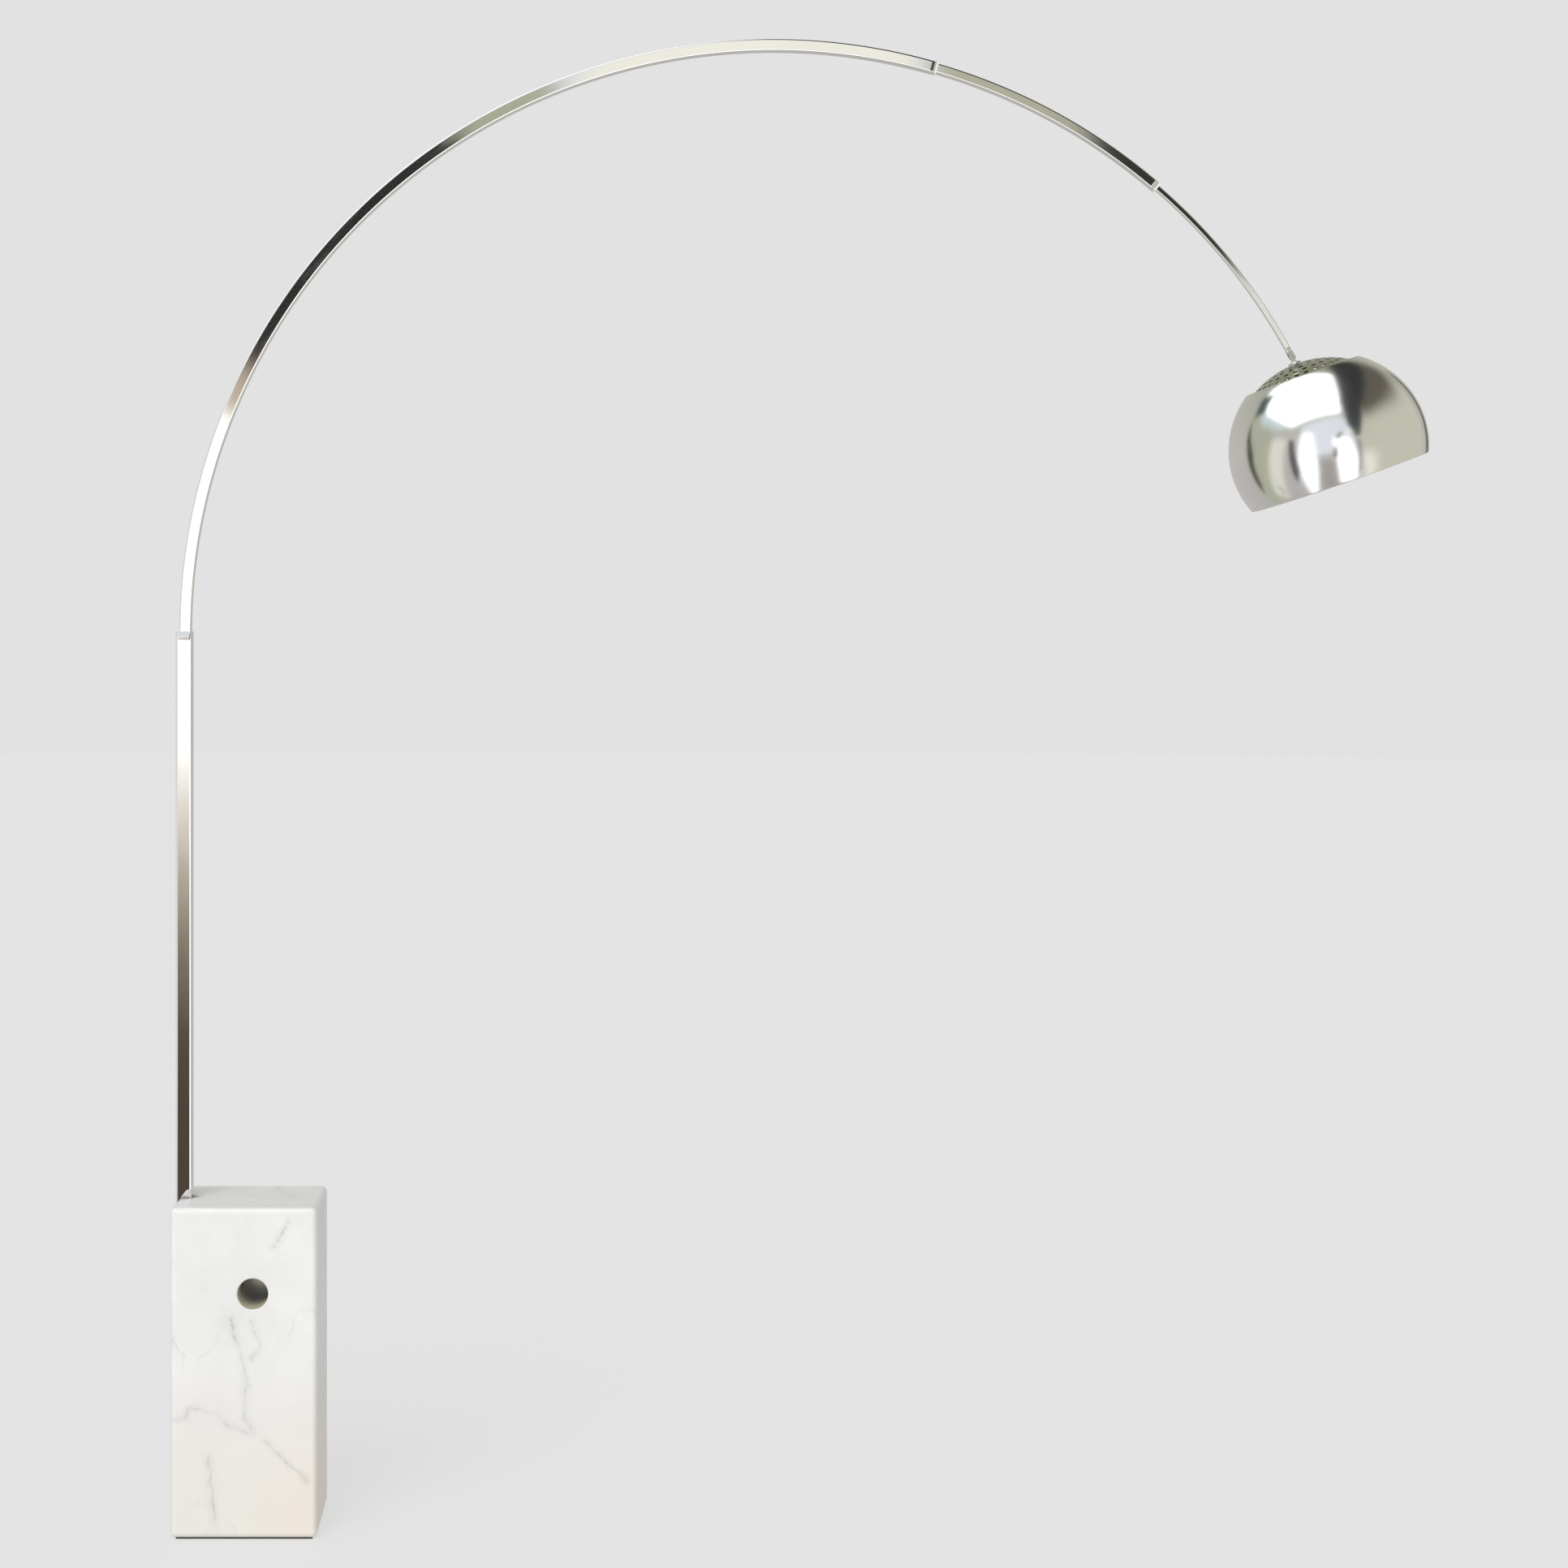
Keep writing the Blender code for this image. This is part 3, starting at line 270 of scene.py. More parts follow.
def make_piece(name, points, faces, body, slot, material, stands_for=()):
    """A finished piece on its body, in its finish, standing for CAD nodes."""
    piece = add_object(name, make_mesh(name, points, faces))
    piece.data.materials.append(material)
    if stands_for:
        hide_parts(*stands_for)
    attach(piece, body)
    return piece


def rounded_square(size, corner, steps=5, support=0.08):
    """Points and normals round a square: a quarter circle at each corner and two marks on each side."""
    short = size / 2 - corner
    turn = np.radians(np.linspace(0.0, 90.0, steps + 1))
    arc_normal = np.stack([np.cos(turn), np.sin(turn)], -1)
    arc = short + corner * arc_normal
    marks = np.array([support, 1.0 - support])
    side = np.stack([short * (1.0 - 2.0 * marks), np.full(2, short + corner)], -1)
    side_normal = np.tile([0.0, 1.0], (2, 1))
    quarter = np.concatenate([arc, side])
    normal = np.concatenate([arc_normal, side_normal])
    points, normals = [], []
    for turns in range(4):
        cosine, sine = (1, 0, -1, 0)[turns], (0, 1, 0, -1)[turns]
        spin = np.array([[cosine, sine], [-sine, cosine]])
        points.append(quarter @ spin)
        normals.append(normal @ spin)
    return np.concatenate(points), np.concatenate(normals)


def lip_stations(count, lip, steps=3):
    """How far each end station steps in and back, for a quarter-round lip at both ends."""
    turn = np.linspace(0.0, math.pi / 2, steps + 1)
    inset = np.zeros(count + 2 * steps)
    shift = np.zeros(count + 2 * steps)
    inset[:steps + 1] = lip * (1.0 - np.sin(turn))
    inset[-steps - 1:] = inset[:steps + 1][::-1]
    shift[:steps + 1] = lip * (1.0 - np.cos(turn))
    shift[-steps - 1:] = -shift[:steps + 1][::-1]
    return inset, shift, steps


def swept_tube(places, outward, forward, size, wall, corner):
    """A square tube carried along a path: its outside forwards, its bore back, closed at both ends.

    A point is its station's place, plus the outline's width along outward and depth to the front.
    """
    inset, shift, extra = lip_stations(len(places), TUBE_LIP)
    index = np.clip(np.arange(len(inset)) - extra, 0, len(places) - 1)
    centre = places[index] + forward[index] * shift[:, None]
    across = outward[index]
    front = np.array([0.0, -1.0, 0.0])

    def skin(outline, normal, sign):
        shape = outline[None] - sign * inset[:, None, None] * normal[None]
        return centre[:, None] + shape[..., :1] * across[:, None] + shape[..., 1:] * front

    outside = skin(*rounded_square(size, corner), 1.0)
    inside = skin(*rounded_square(size - 2 * wall, max(corner - wall, corner / 4)), -1.0)
    points = np.concatenate([outside, inside[::-1]])
    return points.reshape(-1, 3), [ring_faces(points.shape[0], points.shape[1])]


def arc_path(from_angle, to_angle, tail=0.0):
    """Places and directions along the arc, with a straight tail below its first angle."""
    count = int(round((from_angle - to_angle) / TUBE_STEP)) + 1
    outward, forward = arc_directions(np.linspace(from_angle, to_angle, count))
    places = ARC_CENTRE + ARC_RADIUS * outward
    if tail > 0.0:
        marks = np.linspace(tail, 0.0, TAIL_STATIONS, endpoint=False)
        places = np.concatenate([places[0] - marks[:, None] * forward[0], places])
        outward = np.concatenate([np.tile(outward[0], (TAIL_STATIONS, 1)), outward])
        forward = np.concatenate([np.tile(forward[0], (TAIL_STATIONS, 1)), forward])
    return places, outward, forward


def axis_frame(tilt):
    """Across, front and up directions of a shell with a tilt, as the rows of a matrix."""
    up = axis_at(tilt)
    front = np.array([0.0, 1.0, 0.0])
    return np.stack([np.cross(front, up), front, up])


def even_turns(sides):
    """Even angles round a circle, in radians."""
    return np.linspace(0.0, 2 * math.pi, sides, endpoint=False)


def carried_round(profile, sides):
    """A profile carried round the Z axis.

    Its last column is the height. The others are the radius: one for all sides, or one for each.
    """
    turn = even_turns(sides)
    radius = profile[:, :-1]
    return np.stack([radius * np.cos(turn), radius * np.sin(turn),
                     np.repeat(profile[:, -1:], sides, 1)], -1).reshape(-1, 3)


def turned(profile, tilt, sides, closed=True):
    """A turned piece: a profile carried round the shade's axis."""
    points = SHADE_CENTRE + carried_round(profile, sides) @ axis_frame(tilt)
    return points, [ring_faces(len(profile), sides, closed)]


def eased(corners, reach, steps=4):
    """A closed profile with each corner rounded by a short parabola of the given reach."""
    corners = np.asarray(corners, float)
    count = len(corners)
    before = np.roll(corners, 1, 0) - corners
    after = np.roll(corners, -1, 0) - corners
    length_before = np.linalg.norm(before, axis=1)
    length_after = np.linalg.norm(after, axis=1)
    pull = np.minimum(np.full(count, reach), 0.45 * np.minimum(length_before, length_after))
    start = corners + before * (pull / length_before)[:, None]
    stop = corners + after * (pull / length_after)[:, None]
    share = np.linspace(0.0, 1.0, steps + 1)[None, :, None]
    curve = ((1 - share) ** 2 * start[:, None] + 2 * share * (1 - share) * corners[:, None]
             + share ** 2 * stop[:, None])
    return curve.reshape(-1, 2)


def sphere_arc(radius, from_angle, to_angle, steps):
    """Radii and heights along a sphere, with angles measured from the top of its axis."""
    turn = np.radians(np.linspace(from_angle, to_angle, steps + 1))
    return np.stack([radius * np.sin(turn), radius * np.cos(turn)], -1)


def shell_profile(outer, wall, angles, steps):
    """The closed profile of a shell: outside downwards, a round rim, inside upwards, a round top edge."""
    middle = outer - wall / 2
    rolls = []
    for angle, sign in ((angles[1], 1.0), (angles[0], -1.0)):
        turn = math.radians(angle)
        out = np.array([math.sin(turn), math.cos(turn)])
        down = np.array([math.cos(turn), -math.sin(turn)])
        swing = np.linspace(0.0, math.pi, RIM_STEPS + 1)[1:-1, None]
        rolls.append(middle * out + wall / 2 * sign * (np.cos(swing) * out + np.sin(swing) * down))
    return np.concatenate([sphere_arc(outer, *angles, steps), rolls[0],
                           sphere_arc(outer - wall, *angles, steps)[::-1], rolls[1]])


def zip_rings(first, second, turn_first, turn_second):
    """Triangles between two rings of different counts, taking each next point in order round them."""
    turns = np.concatenate([turn_first, turn_second])
    order = np.argsort(turns, kind="stable")
    on_first = order < len(turn_first)
    step_first = np.cumsum(on_first) - on_first
    step_second = np.cumsum(~on_first) - (~on_first)
    count_first, count_second = len(first), len(second)
    here = first[(step_first - 1) % count_first]
    there = second[(step_second - 1) % count_second]
    ahead = np.where(on_first, first[step_first % count_first], second[step_second % count_second])
    return np.stack([here, there, ahead], -1)


def vent_cell(down, half, cell):
    """A vent cell's border and hole, as angles down and round from its middle, from a corner on."""
    quarter = HOLE_SIDES // 4
    share = np.linspace(-1.0, 1.0, quarter + 1)[:-1]
    level = np.ones(quarter)
    border_down = half * np.concatenate([-level, share, level, -share])
    border_turn = cell / 2 * np.concatenate([share, level, -share, -level])
    around = np.radians(np.arange(HOLE_SIDES) * 360.0 / HOLE_SIDES - 135.0)
    hole_angle = math.degrees(HOLE_DIAMETER / 2 / CAP_RADIUS)
    circle_down = hole_angle * np.sin(around)
    circle_turn = hole_angle * np.cos(around) / math.sin(math.radians(down))
    return border_down, border_turn, circle_down, circle_turn


def make_cap_surface():
    """The perforated cap: a cell round each vent hole, cells side by side in rows, rows zipped together.

    A cell's border is a rectangle in angle down and angle round, and its hole is a circle of equal
    points. The same net at two radii makes the outside and inside, joined at holes and edges.
    """
    row_step = math.degrees(HOLE_ROW_PITCH / CAP_RADIUS)
    half = row_step * CELL_SHARE
    quarter = HOLE_SIDES // 4
    points, quads, triangles, holes = [], [], [], []
    total = 0

    def add(downs, rounds):
        nonlocal total
        down, turn = np.radians(downs), np.radians(rounds)
        points.append(np.stack([np.sin(down) * np.cos(turn), np.sin(down) * np.sin(turn),
                                np.cos(down)], -1).reshape(-1, 3))
        first = total
        total += len(points[-1])
        return np.arange(first, total).reshape(np.shape(downs))

    stem_angle = math.degrees(math.asin((STEM_DIAMETER / 2 + FIT) / CAP_RADIUS))
    ring_turn = np.linspace(0.0, 360.0, STEM_RING_SIDES, endpoint=False)
    stem_ring = add(np.full(STEM_RING_SIDES, stem_angle), ring_turn)
    ring = stem_ring
    rows = int((LAST_ROW_ANGLE - FIRST_ROW_ANGLE) / row_step) + 1
    for row in range(rows):
        down = FIRST_ROW_ANGLE + row * row_step
        girth = 2 * math.pi * CAP_RADIUS * math.sin(math.radians(down))
        count = int(girth / HOLE_PITCH)
        cell = 360.0 / count
        middle = cell * (np.arange(count) + (row % 2) / 2)
        border_down, border_turn, circle_down, circle_turn = vent_cell(down, half, cell)
        border = add(down + np.tile(border_down, (count, 1)), middle[:, None] + border_turn)
        circle = add(down + np.tile(circle_down, (count, 1)), middle[:, None] + circle_turn)
        next_border = np.roll(border, -1, 1)
        next_circle = np.roll(circle, -1, 1)
        quads.append(np.stack([border, next_border, next_circle, circle], -1).reshape(-1, 4))
        holes.append(np.stack([circle, next_circle], -1).reshape(-1, 2))
        top = border[:, :quarter].ravel()
        top_turn = (middle[:, None] + border_turn[:quarter]).ravel()
        foot = np.concatenate([border[:, 3 * quarter:3 * quarter + 1],
                               border[:, 2 * quarter + 1:3 * quarter][:, ::-1]], 1).ravel()
        triangles.append(zip_rings(ring, top, ring_turn, top_turn))
        ring, ring_turn = foot, top_turn
    rim_steps = max(2, int((CAP_EDGE_ANGLE - down - half) / RIM_STEP_ANGLE) + 1)
    for angle in np.linspace(down + half, CAP_EDGE_ANGLE, rim_steps + 1)[1:]:
        lower = add(np.full(len(ring), angle), ring_turn)
        quads.append(np.stack([ring, lower, np.roll(lower, -1), np.roll(ring, -1)], -1))
        ring = lower
    points = np.concatenate(points)
    outside = CAP_RADIUS * points
    inside = (CAP_RADIUS - SHELL_WALL) * points
    walls = np.concatenate(holes + [np.stack([stem_ring, np.roll(stem_ring, -1)], -1)[:, ::-1],
                                    np.stack([ring, np.roll(ring, -1)], -1)])
    walls = np.stack([walls[:, 0], walls[:, 1], walls[:, 1] + total, walls[:, 0] + total], -1)
    quads = np.concatenate(quads)
    triangles = np.concatenate(triangles)
    skin = SHADE_CENTRE + np.concatenate([outside, inside]) @ axis_frame(CAP_TILT)
    return skin, quads, triangles, walls, total


def rounded_box(low, high, edge, edge_steps=8, pitch=0.03):
    """A box with round edges.

    Each surface point is pulled in to the box less its edge, then pushed out by the edge's radius
    along the line between them.
    """
    middle, half = (low + high) / 2, (high - low) / 2
    round_marks = edge * np.tan(np.radians(np.linspace(0.0, 45.0, edge_steps + 1)))
    faces, points, total = [], [], 0

    def marks(size):
        flat = size - edge
        inner = np.linspace(-flat + FLAT_INSET, flat - FLAT_INSET, max(2, int(2 * flat / pitch)))
        return np.concatenate([-flat - round_marks[::-1], inner, flat + round_marks])

    for axis in range(3):
        first, second = (axis + 1) % 3, (axis + 2) % 3
        u, v = marks(half[first]), marks(half[second])
        for side in (-1.0, 1.0):
            grid = np.zeros((len(u), len(v), 3))
            grid[..., axis] = side * half[axis]
            grid[..., first] = u[:, None]
            grid[..., second] = v[None, :]
            points.append(grid.reshape(-1, 3))
            row, column = np.meshgrid(np.arange(len(u) - 1), np.arange(len(v) - 1), indexing="ij")
            start = total + row * len(v) + column
            quad = np.stack([start, start + len(v), start + len(v) + 1, start + 1], -1).reshape(-1, 4)
            faces.append(quad if side > 0 else quad[:, ::-1])
            total += len(u) * len(v)
    surface = np.concatenate(points)
    core = np.clip(surface, edge - half, half - edge)
    push = surface - core
    surface = core + edge * push / np.linalg.norm(push, axis=1, keepdims=True)
    return middle + surface, faces


# ---------------------------------------------------------------- finishes

class Wire:
    """One socket of a node tree. Arithmetic on it adds Math nodes, and node() adds any other node."""

    def __init__(self, tree, socket=None):
        self.tree = tree
        self.socket = socket

    def node(self, kind, settings=None, inputs=None, output=0):
        """Add a node: its settings first, then the value or link of each socket, and wrap an output."""
        made = self.tree.nodes.new(kind)
        for name, value in (settings or {}).items():
            if name == "stops":
                self.fill_ramp(made.color_ramp, value)
            else:
                setattr(made, name, value)
        for name, value in (inputs or {}).items():
            if isinstance(value, Wire):
                self.tree.links.new(value.socket, made.inputs[name])
            else:
                made.inputs[name].default_value = value
        return Wire(self.tree, made.outputs[output])

    @staticmethod
    def fill_ramp(ramp, stops):
        """Set a colour ramp's stops, each a place and a colour."""
        while len(ramp.elements) < len(stops):
            ramp.elements.new(1.0)
        for element, (place, colour) in zip(ramp.elements, stops):
            element.position = place
            element.color = (*colour, 1.0)

    def maths(self, operation, first, second=0.0):
        return self.node("ShaderNodeMath", {"operation": operation}, {0: first, 1: second})

    def __add__(self, other):
        return self.maths("ADD", self, other)

    def __sub__(self, other):
        return self.maths("SUBTRACT", self, other)

    def __mul__(self, other):
        return self.maths("MULTIPLY", self, other)

    def __truediv__(self, other):
        return self.maths("DIVIDE", self, other)

    def __rsub__(self, other):
        return self.maths("SUBTRACT", other, self)

    __radd__ = __add__
    __rmul__ = __mul__


def new_finish(name):
    """A new material and an empty wire on its nodes."""
    material = bpy.data.materials.new(name)
    material.use_nodes = True
    return material, Wire(material.node_tree)


def fill_shader(material, sockets):
    """Set the main shader's sockets, each to a value or a wire."""
    shader = material.node_tree.nodes["Principled BSDF"]
    for name, value in sockets.items():
        if isinstance(value, Wire):
            material.node_tree.links.new(value.socket, shader.inputs[name])
        else:
            shader.inputs[name].default_value = value
    return material


def own_place(wire):
    """Where a point is in its piece's own frame."""
    return wire.node("ShaderNodeTexCoord", output="Object")


def shifted(wire, vector, away):
    """A vector less a fixed place."""
    return wire.node("ShaderNodeVectorMath", {"operation": "SUBTRACT"}, {0: vector, 1: tuple(away)})


def stretched(wire, vector, scales):
    """A vector with each part multiplied."""
    return wire.node("ShaderNodeVectorMath", {"operation": "MULTIPLY"}, {0: vector, 1: tuple(scales)})


def along(wire, vector, direction):
    """How far a vector reaches in a fixed direction."""
    return wire.node("ShaderNodeVectorMath", {"operation": "DOT_PRODUCT"},
                     {0: vector, 1: tuple(direction)}, "Value")


def reach_of(wire, vector):
    """A vector's length."""
    return wire.node("ShaderNodeVectorMath", {"operation": "LENGTH"}, {0: vector}, "Value")


def parts_of(wire, vector):
    """A vector's three parts."""
    split = wire.node("ShaderNodeSeparateXYZ", inputs={0: vector})
    outputs = split.socket.node.outputs
    return [Wire(wire.tree, outputs[index]) for index in range(3)]


def vector_of(wire, first, second, third):
    """Three numbers as a vector."""
    return wire.node("ShaderNodeCombineXYZ", inputs={0: first, 1: second, 2: third})


def grain(wire, vector, scale, detail=3.0, roughness=0.5):
    """Soft noise between 0 and 1."""
    return wire.node("ShaderNodeTexNoise", inputs={"Vector": vector, "Scale": scale,
                                                   "Detail": detail, "Roughness": roughness})


def eased_step(wire, value, start, stop):
    """0 below start, 1 above stop and a smooth rise between them."""
    return wire.node("ShaderNodeMapRange", {"interpolation_type": "SMOOTHSTEP"},
                     {"Value": value, "From Min": start, "From Max": stop})


def blend(wire, share, first, second):
    """The first colour where share is 0 and the second where it is 1."""
    colours = [value if isinstance(value, Wire) else (*value, 1.0) for value in (first, second)]
    return wire.node("ShaderNodeMix", {"data_type": "RGBA"},
                     {0: share, 6: colours[0], 7: colours[1]}, 2)


def bumped(wire, height, strength, distance):
    """A normal from a height."""
    return wire.node("ShaderNodeBump", inputs={"Height": height, "Strength": strength,
                                               "Distance": distance}, output="Normal")


def paint(red, green, blue):
    """A colour as seen, in linear light."""
    seen = np.array([red, green, blue])
    linear = np.where(seen <= 0.04045, seen / 12.92, ((seen + 0.055) / 1.055) ** 2.4)
    return tuple(linear.tolist())


# The main veins of the block, as the places across and up where each one bends
VEINS = (
    ((-0.020, 0.359), (-0.008, 0.314), (0.008, 0.253), (0.003, 0.244), (0.001, 0.201), (0.016, 0.177)),
    ((-0.124, 0.195), (-0.094, 0.201), (-0.090, 0.215), (-0.068, 0.217), (-0.047, 0.208), (-0.012, 0.180)),
    ((-0.012, 0.180), (0.006, 0.176)),
    ((0.036, 0.163), (0.070, 0.128), (0.105, 0.098)),
    ((-0.056, 0.135), (-0.052, 0.080), (-0.044, 0.004)),
    ((0.014, 0.358), (0.026, 0.320), (0.014, 0.297)),
    ((0.074, 0.523), (0.049, 0.479)),
)


def vein_distance(wire, across, up, start, stop):
    """The distance from a point to a straight piece of vein: less the nearest place along it."""
    run = np.subtract(stop, start)
    length = float(run @ run)
    from_x, from_z = across - float(start[0]), up - float(start[1])
    share = (from_x * float(run[0]) + from_z * float(run[1])) / length
    share = wire.node("ShaderNodeClamp", inputs={"Value": share})
    return reach_of(wire, vector_of(wire, from_x - share * float(run[0]),
                                    from_z - share * float(run[1]), 0.0))


def marble():
    """White marble: grey veins that run through the block, cloudy patches, painted shade that darkens and
    warms it towards the foot, and painted light and shade in the lifting hole.
    """
    material, wire = new_finish("veined_marble")
    place = own_place(wire)
    x, y, z = parts_of(wire, place)
    wander = grain(wire, place, 34.0, 5.0, 0.65) - 0.5
    wander_up = grain(wire, shifted(wire, place, (3.0, 1.0, 2.0)), 38.0, 5.0, 0.65) - 0.5
    leaning = (y + float(BLOCK_HIGH[1])) * 0.22
    across = x + leaning + wander * 0.020
    up = z - leaning * 0.6 + wander_up * 0.020
    nearest = None
    for vein in VEINS:
        for start, stop in zip(vein[:-1], vein[1:]):
            reach = vein_distance(wire, across, up, start, stop)
            nearest = reach if nearest is None else wire.maths("MINIMUM", nearest, reach)
    fading = eased_step(wire, grain(wire, place, 17.0, 2.0), 0.36, 0.62)
    broken = eased_step(wire, grain(wire, place, 90.0, 3.0, 0.6), 0.40, 0.62)
    line = (1.0 - eased_step(wire, nearest, 0.0, 0.0034)) * (0.05 + fading * 0.27) * (0.35 + broken)
    halo = (1.0 - eased_step(wire, nearest, 0.0, 0.014)) * (0.04 + fading * 0.11)
    web_place = stretched(wire, place, (5.0, 4.0, 3.2))
    web = wire.maths("ABSOLUTE", grain(wire, web_place, 1.7, 5.0, 0.55) - 0.5)
    web_line = (1.0 - eased_step(wire, web, 0.0, 0.018)) * eased_step(
        wire, grain(wire, place, 6.0, 2.0), 0.46, 0.66) * 0.22
    vein = wire.maths("MAXIMUM", line + halo, web_line)
    cloud = grain(wire, place, 7.0, 4.0, 0.6)
    # Painted shade: darker and warmer towards the foot.
    painted_foot_shade = (1.0 - eased_step(wire, z, 0.02, 0.40)) * (0.35 + cloud * 0.8)
    rosy = eased_step(wire, x, -0.02, 0.11) * (1.0 - eased_step(wire, z, 0.04, 0.26)) * cloud
    body = blend(wire, eased_step(wire, cloud, 0.30, 0.72), (0.770, 0.768, 0.755), (0.850, 0.846, 0.832))
    body = blend(wire, painted_foot_shade, body, (0.760, 0.735, 0.670))
    body = blend(wire, rosy * 0.75, body, (0.810, 0.690, 0.590))
    body = blend(wire, vein, body, (0.300, 0.305, 0.315))
    crystal = grain(wire, place, 420.0, 2.0)
    body = blend(wire, crystal * 0.06, body, (0.70, 0.69, 0.67))
    # Painted light and shade in the lifting hole: a lit olive wall at its mouth that fades to near black
    # deeper in.
    painted_hole_shade_mask = eased_step(wire, reach_of(wire, vector_of(
        wire, x - LIFTING_HOLE_X, 0.0, z - float(BLOCK_HIGH[2] - LIFTING_HOLE_BELOW_TOP))),
        LIFTING_HOLE_DIAMETER / 2 + 0.001, LIFTING_HOLE_DIAMETER / 2)
    deep = eased_step(wire, wire.maths("ABSOLUTE", y), float(BLOCK_HIGH[1]) - 0.012,
                      float(BLOCK_HIGH[1]) - 0.085)
    body = blend(wire, painted_hole_shade_mask, body, blend(wire, deep, (0.62, 0.58, 0.45), (0.012, 0.011, 0.009)))
    return fill_shader(material, {
        "Base Color": body,
        "Roughness": 0.20 + crystal * 0.08 + vein * 0.15 + painted_hole_shade_mask * 0.3,
        "Coat Weight": 0.15,
        "Coat Roughness": 0.08,
        "Normal": bumped(wire, crystal + cloud * 0.5, 0.06, 0.0004),
    })


def arc_place(wire):
    """A point on the stem as its distance from the arc's centre, its depth and its length along."""
    x, y, z = parts_of(wire, shifted(wire, own_place(wire), ARC_CENTRE))
    radius = reach_of(wire, vector_of(wire, x, 0.0, z))
    turn = wire.maths("ARCTAN2", z, x * -1.0)
    return radius, y, turn * ARC_RADIUS


def polished_steel(name, straight):
    """Mirror-polished steel: faint lines along its length, hand marks and small rubbed patches."""
    material, wire = new_finish(name)
    across, deep, length = parts_of(wire, own_place(wire)) if straight else arc_place(wire)
    line_place = vector_of(wire, across * 900.0, deep * 900.0, length * 6.0)
    lines = grain(wire, line_place, 1.0, 3.0)
    smear = grain(wire, vector_of(wire, across * 40.0, deep * 40.0, length * 9.0), 1.0, 4.0, 0.6)
    rubbed = eased_step(wire, smear, 0.52, 0.74)
    colour = blend(wire, smear, (0.800, 0.790, 0.765), (0.870, 0.862, 0.842))
    return fill_shader(material, {
        "Base Color": colour,
        "Metallic": 1.0,
        "Roughness": 0.035 + lines * 0.02 + rubbed * 0.03,
        "Normal": bumped(wire, lines, 0.012, 0.00002),
    })


def spun_metal(name, tilt, colour, roughness, ring_depth, inside, lining_and_painted_shade):
    """Spun sheet metal: fine rings round its axis, a slow waver, and its own colour inside: a lining on the
    bowl, painted shade on the cap.
    """
    material, wire = new_finish(name)
    from_centre = shifted(wire, own_place(wire), SHADE_CENTRE)
    reach = reach_of(wire, from_centre)
    height = along(wire, from_centre, axis_at(tilt)) / reach
    down = wire.maths("ARCCOSINE", height)
    waver = grain(wire, from_centre, 9.0, 3.0)
    rings = grain(wire, vector_of(wire, down * 620.0, 0.0, waver * 0.4), 1.0, 2.0)
    broad = grain(wire, vector_of(wire, down * 60.0, 0.0, 0.0), 1.0, 2.0)
    marks = eased_step(wire, grain(wire, from_centre, 48.0, 5.0, 0.65), 0.55, 0.75)
    inner = eased_step(wire, reach, inside + 0.0002, inside)
    tone = blend(wire, broad, tuple(0.95 * part for part in colour), colour)
    tone = blend(wire, marks * 0.08, tone, (0.62, 0.60, 0.55))
    tone = blend(wire, inner, tone, lining_and_painted_shade)
    return fill_shader(material, {
        "Base Color": tone,
        "Metallic": 1.0 - inner * 0.85,
        "Roughness": roughness + rings * 0.05 + marks * 0.05 + inner * 0.30,
        "Normal": bumped(wire, rings + broad * 0.6, ring_depth, 0.00006),
    })


def cast_metal(name, light, dark, roughness, metallic=1.0, scale=260.0):
    """Small metal parts: plated or machined, with mottled plating and a fine grain."""
    material, wire = new_finish(name)
    place = own_place(wire)
    mottle = grain(wire, place, scale, 4.0, 0.6)
    fine = grain(wire, place, scale * 7.0, 2.0)
    return fill_shader(material, {
        "Base Color": blend(wire, eased_step(wire, mottle, 0.32, 0.68), dark, light),
        "Metallic": metallic,
        "Roughness": roughness + mottle * 0.12 + fine * 0.05,
        "Normal": bumped(wire, mottle + fine, 0.10, 0.00008),
    })


def moulded(name, light, dark, roughness, scale=180.0, depth=0.15):
    """Moulded or fired parts: a fine even skin with slightly uneven colour."""
    material, wire = new_finish(name)
    place = own_place(wire)
    mottle = grain(wire, place, scale, 3.0)
    skin = grain(wire, place, scale * 12.0, 2.0)
    return fill_shader(material, {
        "Base Color": blend(wire, mottle, dark, light),
        "Roughness": roughness + skin * 0.12,
        "Normal": bumped(wire, skin, depth, 0.00010),
    })


def felt():
    """Pressed felt: short crossed fibres, light on dark."""
    material, wire = new_finish("pressed_felt")
    place = own_place(wire)
    first = grain(wire, stretched(wire, place, (2400.0, 500.0, 1500.0)), 1.0, 4.0, 0.7)
    second = grain(wire, stretched(wire, place, (500.0, 2400.0, 1500.0)), 1.0, 4.0, 0.7)
    fibre = wire.maths("MAXIMUM", first, second)
    return fill_shader(material, {
        "Base Color": blend(wire, eased_step(wire, fibre, 0.42, 0.75), (0.045, 0.044, 0.042),
                            (0.17, 0.165, 0.155)),
        "Roughness": 0.88 + fibre * 0.1,
        "Sheen Weight": 0.3,
        "Normal": bumped(wire, fibre, 0.6, 0.0004),
    })


def opal_glass():
    """Opal glass: milky white with a faintly uneven thickness and a glossy skin."""
    material, wire = new_finish("opal_bulb_glass")
    from_centre = shifted(wire, own_place(wire), SHADE_CENTRE)
    thick = grain(wire, from_centre, 34.0, 3.0)
    neck = eased_step(wire, along(wire, from_centre, axis_at(CAP_TILT)), 0.070, 0.095)
    milk = blend(wire, thick, (0.86, 0.855, 0.835), (0.94, 0.937, 0.92))
    return fill_shader(material, {
        "Base Color": blend(wire, neck * 0.5, milk, (0.78, 0.77, 0.74)),
        "Roughness": 0.10 + thick * 0.08,
        "Coat Weight": 0.6,
        "Subsurface Weight": 0.25,
        "Subsurface Radius": (0.01, 0.01, 0.01),
    })


